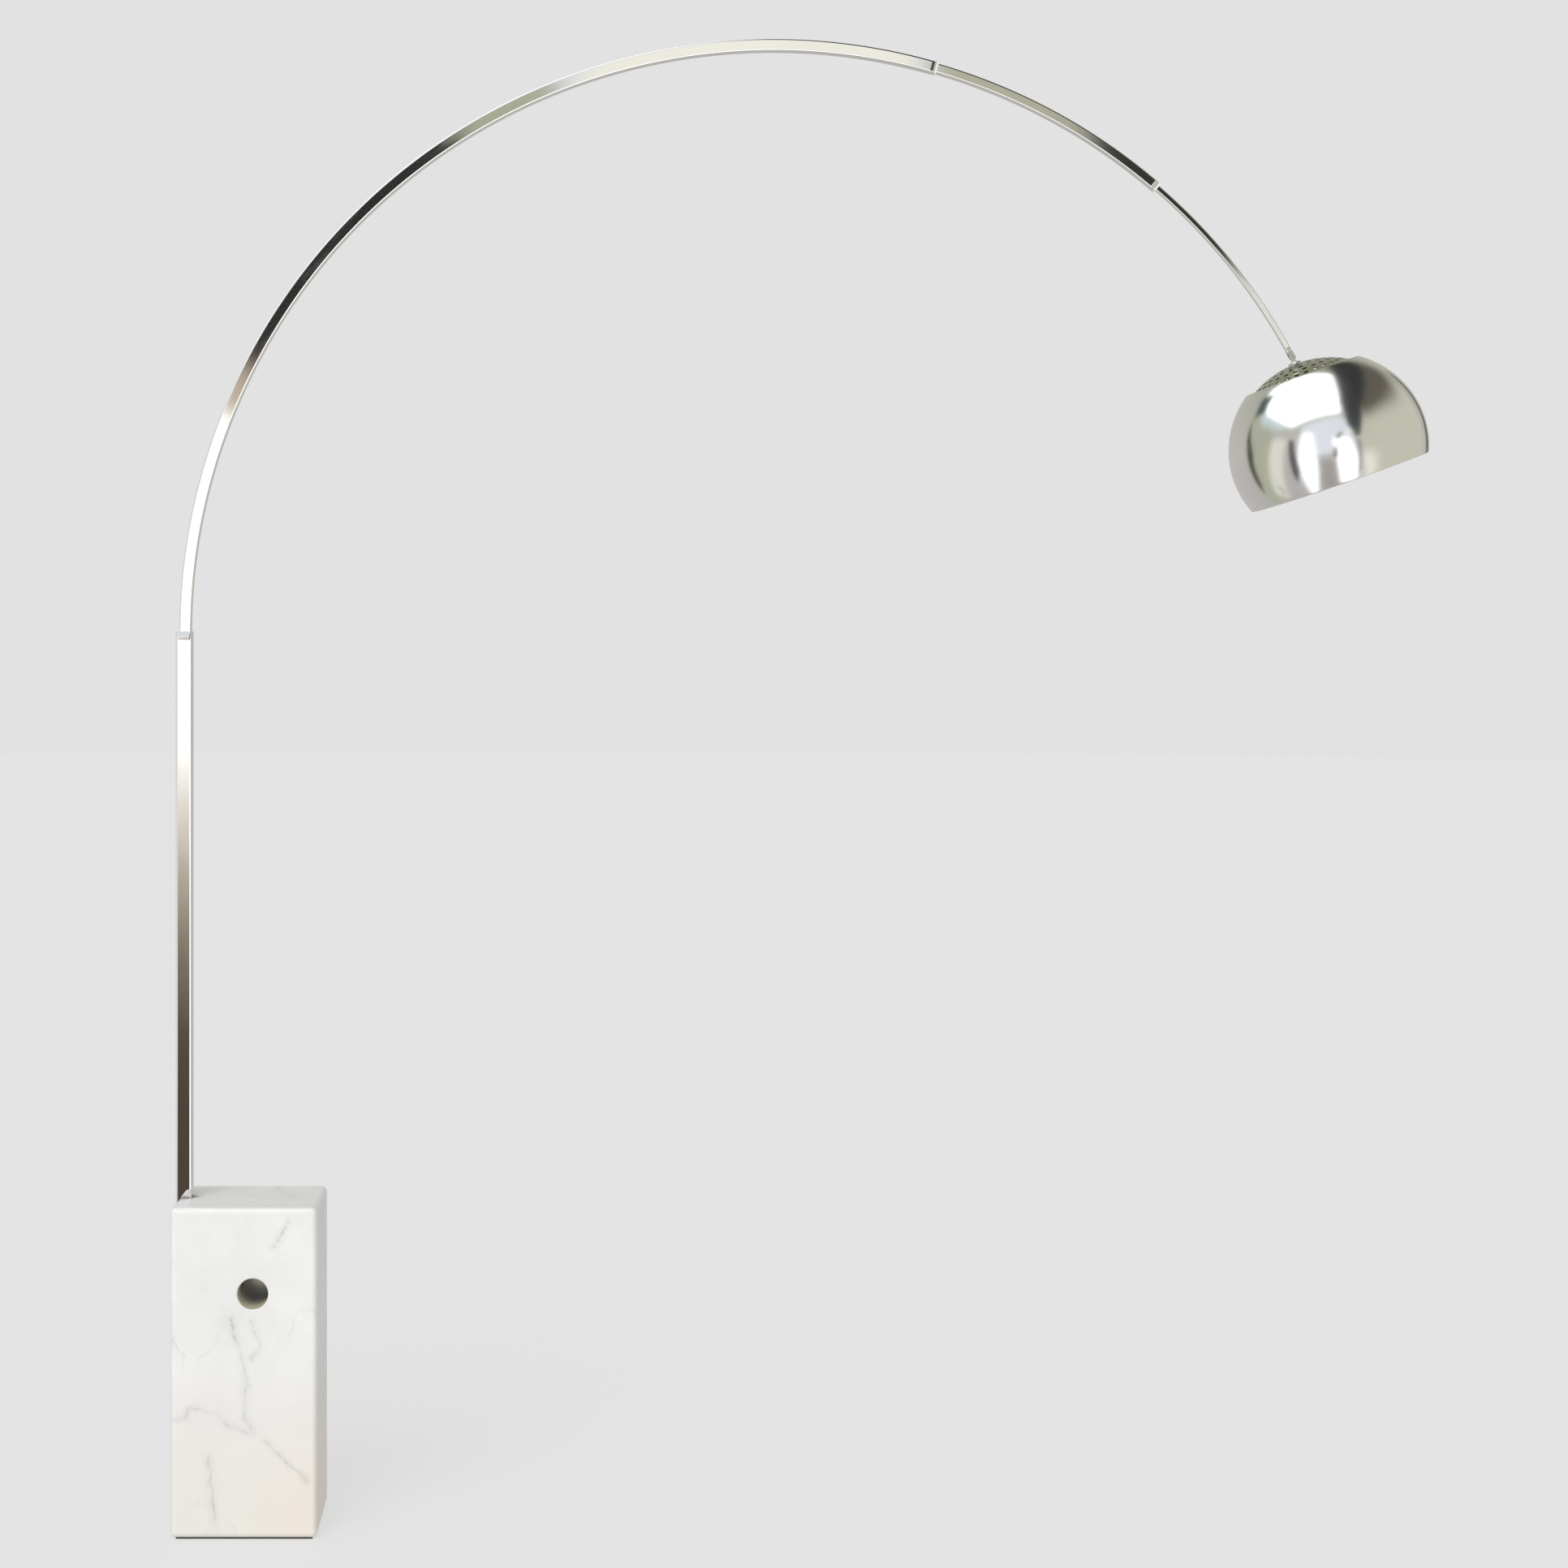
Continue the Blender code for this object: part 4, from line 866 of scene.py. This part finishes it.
STEEL_STRAIGHT = polished_steel("polished_steel_post", True)
STEEL_ARC = polished_steel("polished_steel_arc", False)
BOWL_METAL = spun_metal("spun_bowl_metal", BOWL_TILT, (0.895, 0.893, 0.885), 0.125, 0.04,
                        BOWL_RADIUS - SHELL_WALL, (0.86, 0.86, 0.84))
# The cap's base colour is a painted reflection, darkened and tinted olive, and its near-black inside is
# painted shade that makes the vent holes read dark.
CAP_METAL = spun_metal("satin_cap_metal_painted_reflection", CAP_TILT, (0.52, 0.52, 0.43), 0.20, 0.15,
                       CAP_RADIUS - SHELL_WALL, (0.06, 0.058, 0.05))
MARBLE = marble()
FELT = felt()
STEEL_SMALL = cast_metal("turned_steel", (0.84, 0.83, 0.81), (0.70, 0.69, 0.67), 0.10)
ZINC = cast_metal("plated_zinc", (0.66, 0.67, 0.70), (0.48, 0.49, 0.52), 0.26)
BRASS = cast_metal("drawn_brass", (0.80, 0.62, 0.30), (0.62, 0.45, 0.19), 0.22)
NYLON_PALE = moulded("natural_nylon", (0.84, 0.84, 0.82), (0.76, 0.76, 0.74), 0.30)
NYLON = moulded("dark_nylon", (0.050, 0.050, 0.050), (0.028, 0.028, 0.029), 0.42)
BAKELITE = moulded("black_bakelite", (0.050, 0.043, 0.038), (0.022, 0.019, 0.017), 0.20, 90.0, 0.08)
CERAMIC = moulded("glazed_ceramic", (0.88, 0.865, 0.82), (0.80, 0.78, 0.73), 0.22, 70.0, 0.10)
RUBBER = moulded("lead_rubber", (0.060, 0.059, 0.058), (0.033, 0.033, 0.033), 0.55, 240.0, 0.30)

CARRIED_OVER = (
    (ZINC, ("post_bolt_1", "post_bolt_2", "post_bolt_3", "post_grub_screw_1", "post_grub_screw_2",
            "arc_lower_clamp_screw", "arc_middle_clamp_screw", "knuckle_nut", "cap_nut")),
    (BRASS, ("marble_insert_1", "marble_insert_2", "marble_insert_3")),
    (STEEL_SMALL, ("knuckle_fork", "knuckle_pin", "knuckle_tongue")),
    (NYLON, ("post_foot_plug", "arc_middle_tail_plug", "arc_end_tail_guide")),
    (NYLON_PALE, ("post_packer", "arc_lower_mouth_ring", "arc_middle_mouth_bush")),
    (FELT, ("base_pad",)),
    (BAKELITE, ("cable_gland",)),
    (CERAMIC, ("holder_contact_block", "bulb_filament")),
    (RUBBER, ("lead_in_stand", "lead_in_middle_arc", "lead_in_end_arc")),
)


# ---------------------------------------------------------------- pieces

def cutter(name, points, faces):
    """A solid to cut with."""
    return add_object(name, make_mesh(name, points, faces))


def bored(radius, start, stop, axis, place, flare=0.0, sides=SMALL_SIDES):
    """A round cutter along an axis, flared in a quarter round where it meets the faces it cuts."""
    turn = np.linspace(0.0, math.pi / 2, FLARE_STEPS + 1)
    if flare > 0.0:
        mouth = np.stack([radius + flare * (1.0 - np.cos(turn)), flare * (1.0 - np.sin(turn))], -1)[::-1]
        low = np.stack([mouth[:, 0], start + mouth[:, 1]], -1)
        high = np.stack([mouth[::-1, 0], stop - mouth[::-1, 1]], -1)
        over = radius + flare
        profile = np.concatenate([[(0.0, start - flare), (over, start - flare)], low, high,
                                  [(over, stop + flare), (0.0, stop + flare)]])
    else:
        profile = np.array([(0.0, start), (radius, start), (radius, stop), (0.0, stop)])
    order = {"X": (2, 0, 1), "Y": (1, 2, 0)}[axis]
    points = carried_round(profile, sides)[:, order] + np.array(place)
    return points, [ring_faces(len(profile), sides, False)]


def apply_modifiers(piece):
    """Replace a piece's mesh by the mesh that its modifiers make."""
    graph = bpy.context.evaluated_depsgraph_get()
    made = bpy.data.meshes.new_from_object(piece.evaluated_get(graph))
    piece.modifiers.clear()
    piece.data = made


def make_block():
    """The marble block: a round-edged box with its lifting hole, post groove and bores cut out."""
    points, faces = rounded_box(BLOCK_LOW, BLOCK_HIGH, BLOCK_EDGE)
    block = make_piece("marble_block_polished", points, faces, "stand", "marble", MARBLE,
                       ("marble_block",))
    back = float(BLOCK_HIGH[1])
    hole_z = float(BLOCK_HIGH[2]) - LIFTING_HOLE_BELOW_TOP
    groove_low = np.array([BLOCK_LOW[0] * 2, POST_LOW[1] - FIT, GROOVE_FOOT_Z])
    groove_high = np.array([POST_HIGH[0] + FIT, POST_HIGH[1] + FIT, BLOCK_HIGH[2] * 2])
    gland_low, gland_high = low_high("cable_gland")
    cutters = [
        cutter("cut_lifting_hole", *bored(LIFTING_HOLE_DIAMETER / 2, -back, back, "Y",
                                          (LIFTING_HOLE_X, 0.0, hole_z), HOLE_EASING)),
        cutter("cut_groove", *rounded_box(groove_low, groove_high, FIT, 1, 1.0)),
        cutter("cut_gland_bore", *bored(GLAND_BORE_DIAMETER / 2, 0.0, 2 * back, "Y", (
            (gland_low[0] + gland_high[0]) / 2, 0.0, (gland_low[2] + gland_high[2]) / 2))),
    ]
    for number in (1, 2, 3):
        low, high = low_high(f"marble_insert_{number}")
        cutters.append(cutter(f"cut_insert_{number}", *bored(
            INSERT_BORE_DIAMETER / 2, float(low[0]) - 4 * FIT, float(high[0]) + FIT, "X",
            (0.0, 0.0, (low[2] + high[2]) / 2), sides=SMALL_SIDES // 2)))
    for tool in cutters:
        boolean = block.modifiers.new(tool.name, "BOOLEAN")
        boolean.operation = "DIFFERENCE"
        boolean.solver = "EXACT"
        boolean.object = tool
    weighted = block.modifiers.new("flat_faces", "WEIGHTED_NORMAL")
    weighted.keep_sharp = True
    apply_modifiers(block)
    for tool in cutters:
        bpy.data.objects.remove(tool, do_unlink=True)


def make_stem():
    """The post and the three tubes of the arc."""
    post_size = float(POST_HIGH[1] - POST_LOW[1])
    foot = np.array([(POST_LOW[0] + POST_HIGH[0]) / 2, 0.0, POST_LOW[2]])
    places = np.linspace(foot, [foot[0], 0.0, POST_HIGH[2]], POST_STATIONS)
    outward = np.tile([-1.0, 0.0, 0.0], (POST_STATIONS, 1))
    forward = np.tile([0.0, 0.0, 1.0], (POST_STATIONS, 1))
    make_piece("post_tube", *swept_tube(places, outward, forward, post_size, POST_WALL, POST_CORNER),
               "stand", "steel", STEEL_STRAIGHT, ("post",))
    tube_end = PIVOT_ANGLE + math.degrees(FORK_REACH / ARC_RADIUS)
    tubes = (
        ("arc_lower", "stand", LOWER_SIZE, LOWER_WALL, (*LOWER_ANGLES, LOWER_TAIL_LENGTH)),
        ("arc_middle", "middle_arm", MIDDLE_SIZE, MIDDLE_WALL, MIDDLE_ANGLES),
        ("arc_end", "end_arm", END_SIZE, END_WALL, (END_TAIL_ANGLE, tube_end)),
    )
    for node, body, size, wall, span in tubes:
        make_piece(node + "_tube", *swept_tube(*arc_path(*span), size, wall, TUBE_CORNER), body,
                   "steel", STEEL_ARC, (node,))


def make_shade():
    """The bowl, its slip ring, and the perforated cap with its collar."""
    bowl = shell_profile(BOWL_RADIUS - BOWL_SPARE, SHELL_WALL, BOWL_ANGLES, BOWL_STEPS)
    make_piece("reflector_bowl_spun", *turned(bowl, BOWL_TILT, SHELL_SIDES), "reflector",
               "aluminium", BOWL_METAL, ("reflector_bowl",))
    ring_outer = BOWL_RADIUS - SHELL_WALL - SHELL_SLIDE
    ring_wall = ring_outer - CAP_RADIUS - SHELL_SLIDE
    ring = shell_profile(ring_outer, ring_wall, RING_ANGLES, RING_STEPS)
    make_piece("slip_ring_felted", *turned(ring, BOWL_TILT, SHELL_SIDES), "ring", "felt", FELT,
               ("slip_ring",))
    points, quads, triangles, walls, total = make_cap_surface()
    faces = [quads, triangles, quads[:, ::-1] + total, triangles[:, ::-1] + total, walls]
    make_piece("perforated_cap_pressed", points, faces, "shade", "aluminium", CAP_METAL,
               ("perforated_cap",))
    way = STEM_DIAMETER / 2 + FIT
    foot = CAP_RADIUS + FIT
    top = foot + COLLAR_THICKNESS
    top_radius, rim_radius = COLLAR_RADII
    collar = eased([(way, top), (top_radius, top), (rim_radius, foot + COLLAR_RIM_THICKNESS),
                    (rim_radius, foot), (way, foot)], COLLAR_EASING)
    make_piece("cap_collar_turned", *turned(collar, CAP_TILT, SMALL_SIDES), "shade", "steel",
               STEEL_SMALL, ("cap_collar",))


def span_on_axis(node):
    """A node's top and foot along the cap's axis, as heights from the shade's centre."""
    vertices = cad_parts[node].data.vertices
    points = np.empty(3 * len(vertices), np.float32)
    vertices.foreach_get("co", points)
    heights = (points.reshape(-1, 3) - SHADE_CENTRE) @ axis_at(CAP_TILT)
    return float(heights.max()), float(heights.min())


def make_holder():
    """The ribbed lamp holder: a rounded crown, ribs down its side and a plain bore."""
    top, foot = span_on_axis("lamp_holder")
    way = STEM_DIAMETER / 2 + FIT
    shoulder, ceiling = top - HOLDER_SHOULDER, top - HOLDER_CEILING
    crown = eased([(way, top), (HOLDER_CROWN_RADIUS, top), (HOLDER_RADIUS, shoulder),
                   (HOLDER_RADIUS, top - HOLDER_SHOULDER_FOOT)], HOLDER_EASING)
    crown = crown.reshape(4, -1, 2)[1:3].reshape(-1, 2)
    heights = np.linspace(top - RIBS_BELOW_TOP, foot + RIBS_ABOVE_FOOT, RIB_STATIONS)
    swing = 2 * math.pi * np.linspace(0.0, RIB_COUNT, RIB_STATIONS)
    ribbed = HOLDER_RADIUS - RIB_DEPTH * (0.5 - 0.5 * np.cos(swing))
    inside = [(HOLDER_RADIUS, foot + HOLDER_LIP), (HOLDER_RADIUS - HOLDER_LIP, foot),
              (HOLDER_BORE_RADIUS, foot), (HOLDER_BORE_RADIUS, shoulder),
              (HOLDER_CROWN_RADIUS, ceiling), (way, ceiling)]
    profile = np.concatenate([[(way, top)], crown, np.stack([ribbed, heights], -1), inside])
    make_piece("lamp_holder_ribbed", *turned(profile, CAP_TILT, SMALL_SIDES), "shade", "bakelite",
               BAKELITE, ("lamp_holder",))


def make_bulb_cap():
    """The bulb's cap: a contact at its top, a thread that fades at both ends, and a thin wall.

    The thread's radius goes up and down as a cosine of the height plus the turn.
    """
    top, foot = span_on_axis("bulb_cap")
    contact_foot = top - CONTACT_HEIGHT
    thread_top, thread_foot = contact_foot - THREAD_BELOW_CONTACT, foot + THREAD_ABOVE_FOOT
    heights = np.linspace(thread_top, thread_foot, THREAD_STATIONS)
    from_end = np.minimum(thread_top - heights, heights - thread_foot)
    depth = THREAD_HALF_DEPTH * np.clip(from_end / THREAD_FADE, 0.0, 1.0)
    phase = 2 * math.pi * heights[:, None] / THREAD_PITCH + even_turns(SMALL_SIDES)
    crest = THREAD_RADIUS - depth[:, None] * (1.0 - np.cos(phase))
    thread = np.concatenate([crest, heights[:, None]], 1)
    head = np.array([(0.0, top), (CONTACT_FLAT_RADIUS, top), (CONTACT_HEIGHT, top - CONTACT_DROP),
                     (BULB_CAP_SHOULDER_RADIUS, thread_top)])
    ceiling = contact_foot - BULB_CAP_CEILING
    tail = np.array([(THREAD_RADIUS, foot), (BULB_CAP_BORE_RADIUS, foot),
                     (BULB_CAP_BORE_RADIUS, ceiling), (0.0, ceiling)])
    columns = [0] * SMALL_SIDES + [1]
    profile = np.concatenate([head[:, columns], thread, tail[:, columns]])
    make_piece("bulb_cap_threaded", *turned(profile, CAP_TILT, SMALL_SIDES, False), "shade", "brass",
               BRASS, ("bulb_cap",))


def make_bulb_glass():
    """The bulb's glass: most of a ball, a neck that runs into it as a cubic curve, and a thin wall."""
    top, foot = span_on_axis("bulb_glass")
    ball = sphere_arc(GLASS_RADIUS, GLASS_SHOULDER_ANGLE, 180.0, BALL_STEPS)
    ball = ball + [0.0, foot + GLASS_RADIUS]
    turn = math.radians(GLASS_SHOULDER_ANGLE)
    start = np.array([GLASS_NECK_RADIUS, top - GLASS_NECK_LENGTH])
    pull = start - [0.0, GLASS_NECK_PULL]
    bend = ball[0] + GLASS_SHOULDER_PULL * np.array([-math.cos(turn), math.sin(turn)])
    share = np.linspace(0.0, 1.0, NECK_STEPS + 1)[:-1, None]
    neck = ((1 - share) ** 3 * start + 3 * share * (1 - share) ** 2 * pull
            + 3 * share ** 2 * (1 - share) * bend + share ** 3 * ball[0])
    outside = np.concatenate([[(GLASS_NECK_RADIUS, top)], neck, ball])
    inside = outside[::-1] - [GLASS_WALL, 0.0] * (outside[::-1, :1] > GLASS_WALL)
    inside[:, 1] = np.maximum(inside[:, 1], foot + GLASS_WALL)
    outside[-1, 0] = inside[0, 0] = 0.0
    make_piece("bulb_glass_blown", *turned(np.concatenate([outside, inside]), CAP_TILT, SMALL_SIDES),
               "shade", "opal_glass", opal_glass(), ("bulb_glass",))


def finish_carried_over():
    """Give each CAD piece that is shown its own finish."""
    for material, nodes in CARRIED_OVER:
        for node in nodes:
            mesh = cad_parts[node].data
            if not mesh.materials:
                mesh.materials.append(material)
            for index in range(len(mesh.materials)):
                mesh.materials[index] = material


# ---------------------------------------------------------------- studio

# What the polished metal reflects: corners as directions, edge softness, colour and brightness.
SURROUND = (
    ("right_wall", ((0.36, -0.70, 0.62), (0.50, 0.45, 0.74), (0.87, 0.47, 0.15), (0.80, 0.20, -0.56),
                    (0.45, -0.60, -0.66), (0.33, -0.93, 0.10)), 0.10, (0.740, 0.735, 0.675), 1.0),
    ("right_wall_top", ((0.24, -0.66, 0.72), (0.19, 0.42, 0.89), (0.52, 0.60, 0.60), (0.76, 0.30, 0.56),
                        (0.66, -0.52, 0.54), (0.36, -0.80, 0.48)), 0.42, (0.36, 0.34, 0.31), 1.0),
    ("right_foot", ((0.33, -0.93, -0.14), (0.45, -0.60, -0.66), (0.62, -0.56, -0.55),
                    (0.62, -0.77, -0.12)), 0.30, (0.88, 0.88, 0.84), 1.0),
    ("back_right_edge", ((0.40, 0.76, 0.50), (0.60, 0.66, 0.46), (0.76, 0.64, 0.10), (0.72, 0.66, -0.24),
                         (0.64, 0.74, -0.22), (0.62, 0.77, 0.10)), 0.05, (0.30, 0.30, 0.23), 1.0),
    ("left_wall", ((-0.50, 0.40, 0.76), (-0.62, 0.20, 0.76), (-0.99, -0.15, 0.10), (-0.60, 0.13, -0.79),
                   (-0.50, 0.50, -0.71), (-0.78, 0.60, 0.15)), 0.10, (0.65, 0.66, 0.59), 1.0),
    ("left_post_top", ((-0.56, 0.66, 0.50), (-0.66, 0.54, 0.52), (-0.905, 0.415, 0.02),
                       (-0.905, 0.405, -0.10), (-0.815, 0.575, -0.10), (-0.815, 0.575, 0.10)), 0.075,
     (0.25, 0.23, 0.19), 1.0),
    ("left_post_foot", ((-0.815, 0.575, 0.06), (-0.905, 0.415, 0.06), (-0.80, 0.40, -0.44),
                        (-0.66, 0.47, -0.58), (-0.74, 0.52, -0.42)), 0.075, (0.27, 0.25, 0.21), 1.0),
    ("left_lamp", ((-0.98, -0.12, 0.17), (-0.90, -0.41, 0.13), (-0.60, 0.02, -0.80),
                   (-0.70, 0.22, -0.68)), 0.15, (0.84, 0.83, 0.79), 1.0),
    ("front_wall", ((-0.72, -0.60, 0.34), (0.00, -0.84, 0.55), (0.20, -0.94, 0.27), (0.20, -0.97, -0.13),
                    (-0.50, -0.85, -0.21)), 0.10, (0.84, 0.855, 0.885), 1.0),
    ("front_floor", ((-0.50, -0.81, -0.30), (0.02, -0.95, -0.30), (0.12, -0.62, -0.78),
                     (-0.30, -0.46, -0.83)), 0.16, (0.600, 0.580, 0.565), 1.0),
    ("cool_wall", ((-0.90, 0.24, 0.36), (-0.78, 0.37, 0.50), (-0.04, -0.80, 0.60), (0.12, -0.80, 0.58),
                   (0.06, -0.90, 0.43), (-0.81, -0.55, 0.18)), 0.12, (0.735, 0.785, 0.795), 1.0),
    ("left_streak", ((-0.83, -0.52, 0.24), (-0.56, -0.78, 0.24), (-0.44, -0.81, -0.38),
                     (-0.26, -0.36, -0.90), (-0.50, -0.22, -0.84), (-0.76, -0.54, -0.36)), 0.12,
     (0.97, 0.99, 1.0), 1.25),
    ("left_gap", ((-0.885, -0.455, 0.12), (-0.835, -0.54, 0.10), (-0.70, -0.52, -0.49),
                  (-0.66, -0.35, -0.66), (-0.77, -0.38, -0.50)), 0.06, (0.10, 0.10, 0.09), 1.0),
    ("right_streak", ((-0.21, -0.965, 0.14), (0.10, -0.985, 0.14), (0.29, -0.935, -0.20),
                      (0.31, -0.62, -0.72), (0.02, -0.70, -0.71)), 0.12, (1.0, 1.0, 1.0), 1.4),
    ("soft_box", ((-0.54, 0.50, 0.70), (0.07, 0.06, 1.00), (-0.02, -0.80, 0.60), (-0.82, -0.45, 0.35),
                  (-0.85, 0.20, 0.52)), 0.11, (0.98, 1.0, 1.0), 1.6),
    ("soft_box_stand", ((-0.78, 0.50, 0.44), (-0.56, 0.54, 0.65), (-0.58, 0.32, 0.74),
                        (-0.80, 0.28, 0.53)), 0.10, (0.22, 0.29, 0.29), 1.0),
    ("dark_cloth", ((0.11, 0.42, 0.90), (0.40, 0.50, 0.76), (0.37, -0.62, 0.69),
                    (0.02, -0.68, 0.73)), 0.13, (0.20, 0.205, 0.20), 1.0),
    ("dark_cloth_fold", ((0.03, -0.60, 0.80), (0.36, -0.56, 0.75), (0.32, -0.93, 0.17),
                         (0.256, -0.955, 0.148), (0.08, -0.92, 0.39)), 0.07, (0.20, 0.21, 0.21), 1.0),
    ("cloth_edge", ((0.24, -0.95, 0.20), (0.30, -0.94, 0.20), (0.38, -0.76, -0.53),
                    (0.325, -0.78, -0.535)), 0.05, (0.42, 0.41, 0.40), 1.0),
)

# Small things high on the far wall, by compass angle from the front and height angle, both in degrees
FAR_WALL = (
    ("far_paper_left", ((-4.2, 13.6), (-1.4, 11.2), (0.6, 13.0), (-1.0, 15.4)), 0.012,
     (0.66, 0.67, 0.59), 1.0),
    ("far_edge_left", ((-9.8, 7.4), (-6.6, 5.4), (-5.2, 7.2), (-8.0, 9.0)), 0.012,
     (0.72, 0.66, 0.60), 1.0),
    ("far_door_left", ((-9.3, 8.7), (-5.7, 6.2), (-1.0, 11.7), (-4.0, 14.0)), 0.012,
     (0.17, 0.17, 0.17), 1.0),
    ("far_window", ((0.2, 13.1), (8.6, 13.1), (8.8, 16.8), (1.4, 16.8)), 0.016,
     (0.93, 0.93, 0.89), 1.0),
    ("far_paper_right", ((8.6, 12.2), (9.2, 15.4), (12.6, 14.4), (12.4, 11.0)), 0.018,
     (0.68, 0.68, 0.61), 1.0),
    ("far_door_right", ((12.2, 10.0), (13.2, 13.6), (17.0, 10.8), (15.4, 8.8)), 0.012,
     (0.20, 0.20, 0.18), 1.0),
    ("far_window_side", ((15.7, 9.3), (17.0, 9.5), (19.5, 6.2), (17.2, 5.6)), 0.018,
     (0.90, 0.90, 0.89), 1.0),
)
LOW_SHADE_SIDES = (-11.5, -6.3)       # the dark strip near the floor in front, by compass angle
LOW_SHADE_HEIGHTS = (-15.5, -1.6)
LOW_SHADE_DARKEST = -10.0
LOW_SHADE_SOFTNESS = 0.012
LOW_SHADE_TONES = (
    (0.0, paint(0.29, 0.26, 0.225)), (0.18, paint(0.33, 0.295, 0.255)), (0.42, paint(0.50, 0.460, 0.41)),
    (0.64, paint(0.70, 0.67, 0.62)), (0.84, paint(0.89, 0.87, 0.84)), (1.0, (1.15, 1.14, 1.12)),
)

# The room behind all of these, from straight down to straight up
ROOM_TONES = (
    (0.0, paint(0.66, 0.65, 0.64)), (0.42, paint(0.70, 0.69, 0.68)), (0.52, paint(0.71, 0.70, 0.685)),
    (0.75, paint(0.66, 0.66, 0.62)), (1.0, paint(0.55, 0.55, 0.49)),
)


def compass(turn, height):
    """A direction from a compass angle off the front and a height angle."""
    turn, height = math.radians(turn), math.radians(height)
    return (math.sin(turn) * math.cos(height), -math.cos(turn) * math.cos(height), math.sin(height))


def inside_corners(wire, direction, corners, softness):
    """1 for directions inside the corners: on the inner side of the plane through each pair of them."""
    corners = np.array([np.array(corner) / np.linalg.norm(corner) for corner in corners])
    middle = corners.mean(0)
    share = None
    for first, second in zip(corners, np.roll(corners, -1, 0)):
        normal = np.cross(first, second)
        normal = normal / np.linalg.norm(normal)
        normal = normal * np.sign(normal @ middle)
        edge = eased_step(wire, along(wire, direction, normal), -softness / 2, softness / 2)
        share = edge if share is None else share * edge
    return share


def reflected_studio(wire):
    """The studio as polished metal sees it, painted by direction from back to front."""
    direction = wire.node("ShaderNodeTexCoord", output="Generated")
    height = parts_of(wire, direction)[2]
    colour = wire.node("ShaderNodeValToRGB", {"stops": ROOM_TONES}, {0: height * 0.5 + 0.5})
    panels = list(SURROUND)
    for name, corners, softness, tone, strength in FAR_WALL:
        panels.append((name, [compass(*corner) for corner in corners], softness, tone, strength))
    for name, corners, softness, tone, strength in panels:
        share = inside_corners(wire, direction, corners, softness)
        lit = tuple(part * strength for part in paint(*tone))
        colour = blend(wire, share, colour, lit)
        colour.socket.node.label = name
    left, right = LOW_SHADE_SIDES
    low, high = LOW_SHADE_HEIGHTS
    strip = inside_corners(wire, direction, [compass(left, low), compass(right, low),
                                             compass(right, high), compass(left, high)],
                           LOW_SHADE_SOFTNESS)
    climb = wire.node("ShaderNodeMapRange", {"interpolation_type": "LINEAR"}, {
        "Value": height, "From Min": math.sin(math.radians(LOW_SHADE_DARKEST)),
        "From Max": math.sin(math.radians(high)), "To Min": 0.0, "To Max": 1.0})
    shade = wire.node("ShaderNodeValToRGB", {"stops": LOW_SHADE_TONES}, {0: climb})
    return blend(wire, strip, colour, shade)


def light_world():
    """An even backdrop for the camera, the painted surround for reflections, and even light for the rest."""
    world = bpy.data.worlds.new("studio")
    bpy.context.scene.world = world
    world.use_nodes = True
    world.cycles.sampling_method = "NONE"
    wire = Wire(world.node_tree)
    seen = wire.node("ShaderNodeLightPath", output="Is Camera Ray")
    glossy = wire.node("ShaderNodeLightPath", output="Is Glossy Ray")
    studio = wire.node("ShaderNodeVectorMath", {"operation": "SCALE"},
                       {0: reflected_studio(wire), "Scale": 1.0 / METAL_LOSS})
    colour = blend(wire, glossy, (AMBIENT,) * 3, studio)
    colour = blend(wire, seen, colour, (BACKDROP,) * 3)
    background = world.node_tree.nodes["Background"]
    world.node_tree.links.new(colour.socket, background.inputs["Color"])
    background.inputs["Strength"].default_value = 1.0


def make_floor():
    """A round pale floor that mostly glows as the backdrop does, and takes the rest of its light."""
    turn = even_turns(FLOOR_SIDES)
    rim = np.stack([FLOOR_RADIUS * np.cos(turn), FLOOR_RADIUS * np.sin(turn),
                    np.full(FLOOR_SIDES, -FLOOR_DROP)], -1)
    mesh = bpy.data.meshes.new("studio_floor")
    mesh.from_pydata(rim.tolist(), [], [list(range(FLOOR_SIDES))])
    floor = add_object("studio_floor", mesh)
    material, wire = new_finish("pale_floor")
    matt = wire.node("ShaderNodeBsdfDiffuse", inputs={0: (FLOOR_ALBEDO,) * 3 + (1.0,)})
    glow = wire.node("ShaderNodeEmission", inputs={0: (BACKDROP,) * 3 + (1.0,)})
    mixed = wire.node("ShaderNodeMixShader", inputs={0: FLOOR_GLOW, 1: matt, 2: glow})
    output = material.node_tree.nodes["Material Output"]
    material.node_tree.links.new(mixed.socket, output.inputs["Surface"])
    mesh.materials.append(material)
    floor.visible_glossy = False
    return floor


def make_key_light():
    """A soft key light, left out of the reflections."""
    light = bpy.data.lights.new("soft_key", "SUN")
    light.energy = KEY_STRENGTH
    light.angle = math.radians(KEY_SPREAD)
    key = add_object("soft_key", light)
    key.rotation_mode = "QUATERNION"
    key.rotation_quaternion = Vector(KEY_FROM).to_track_quat("Z", "Y")
    key.visible_glossy = False
    return key


def make_studio():
    """A pale floor, an even backdrop, a soft key light and the surround that polished metal reflects."""
    light_world()
    floor = make_floor()
    key = make_key_light()


def make_camera():
    """A level camera in front of the lamp, with the lens shifted to frame it."""
    data = bpy.data.cameras.new("camera")
    data.sensor_width = CAMERA_SENSOR
    data.lens = CAMERA_LENS
    data.shift_x, data.shift_y = CAMERA_SHIFT
    data.clip_start, data.clip_end = 0.05, 200.0
    camera = add_object("camera", data)
    camera.location = CAMERA_PLACE
    camera.rotation_euler = (math.pi / 2, 0.0, 0.0)
    bpy.context.scene.camera = camera
    bpy.context.scene.view_settings.view_transform = "Standard"


make_block()
make_stem()
make_shade()
make_holder()
make_bulb_cap()
make_bulb_glass()
finish_carried_over()
make_studio()
make_camera()
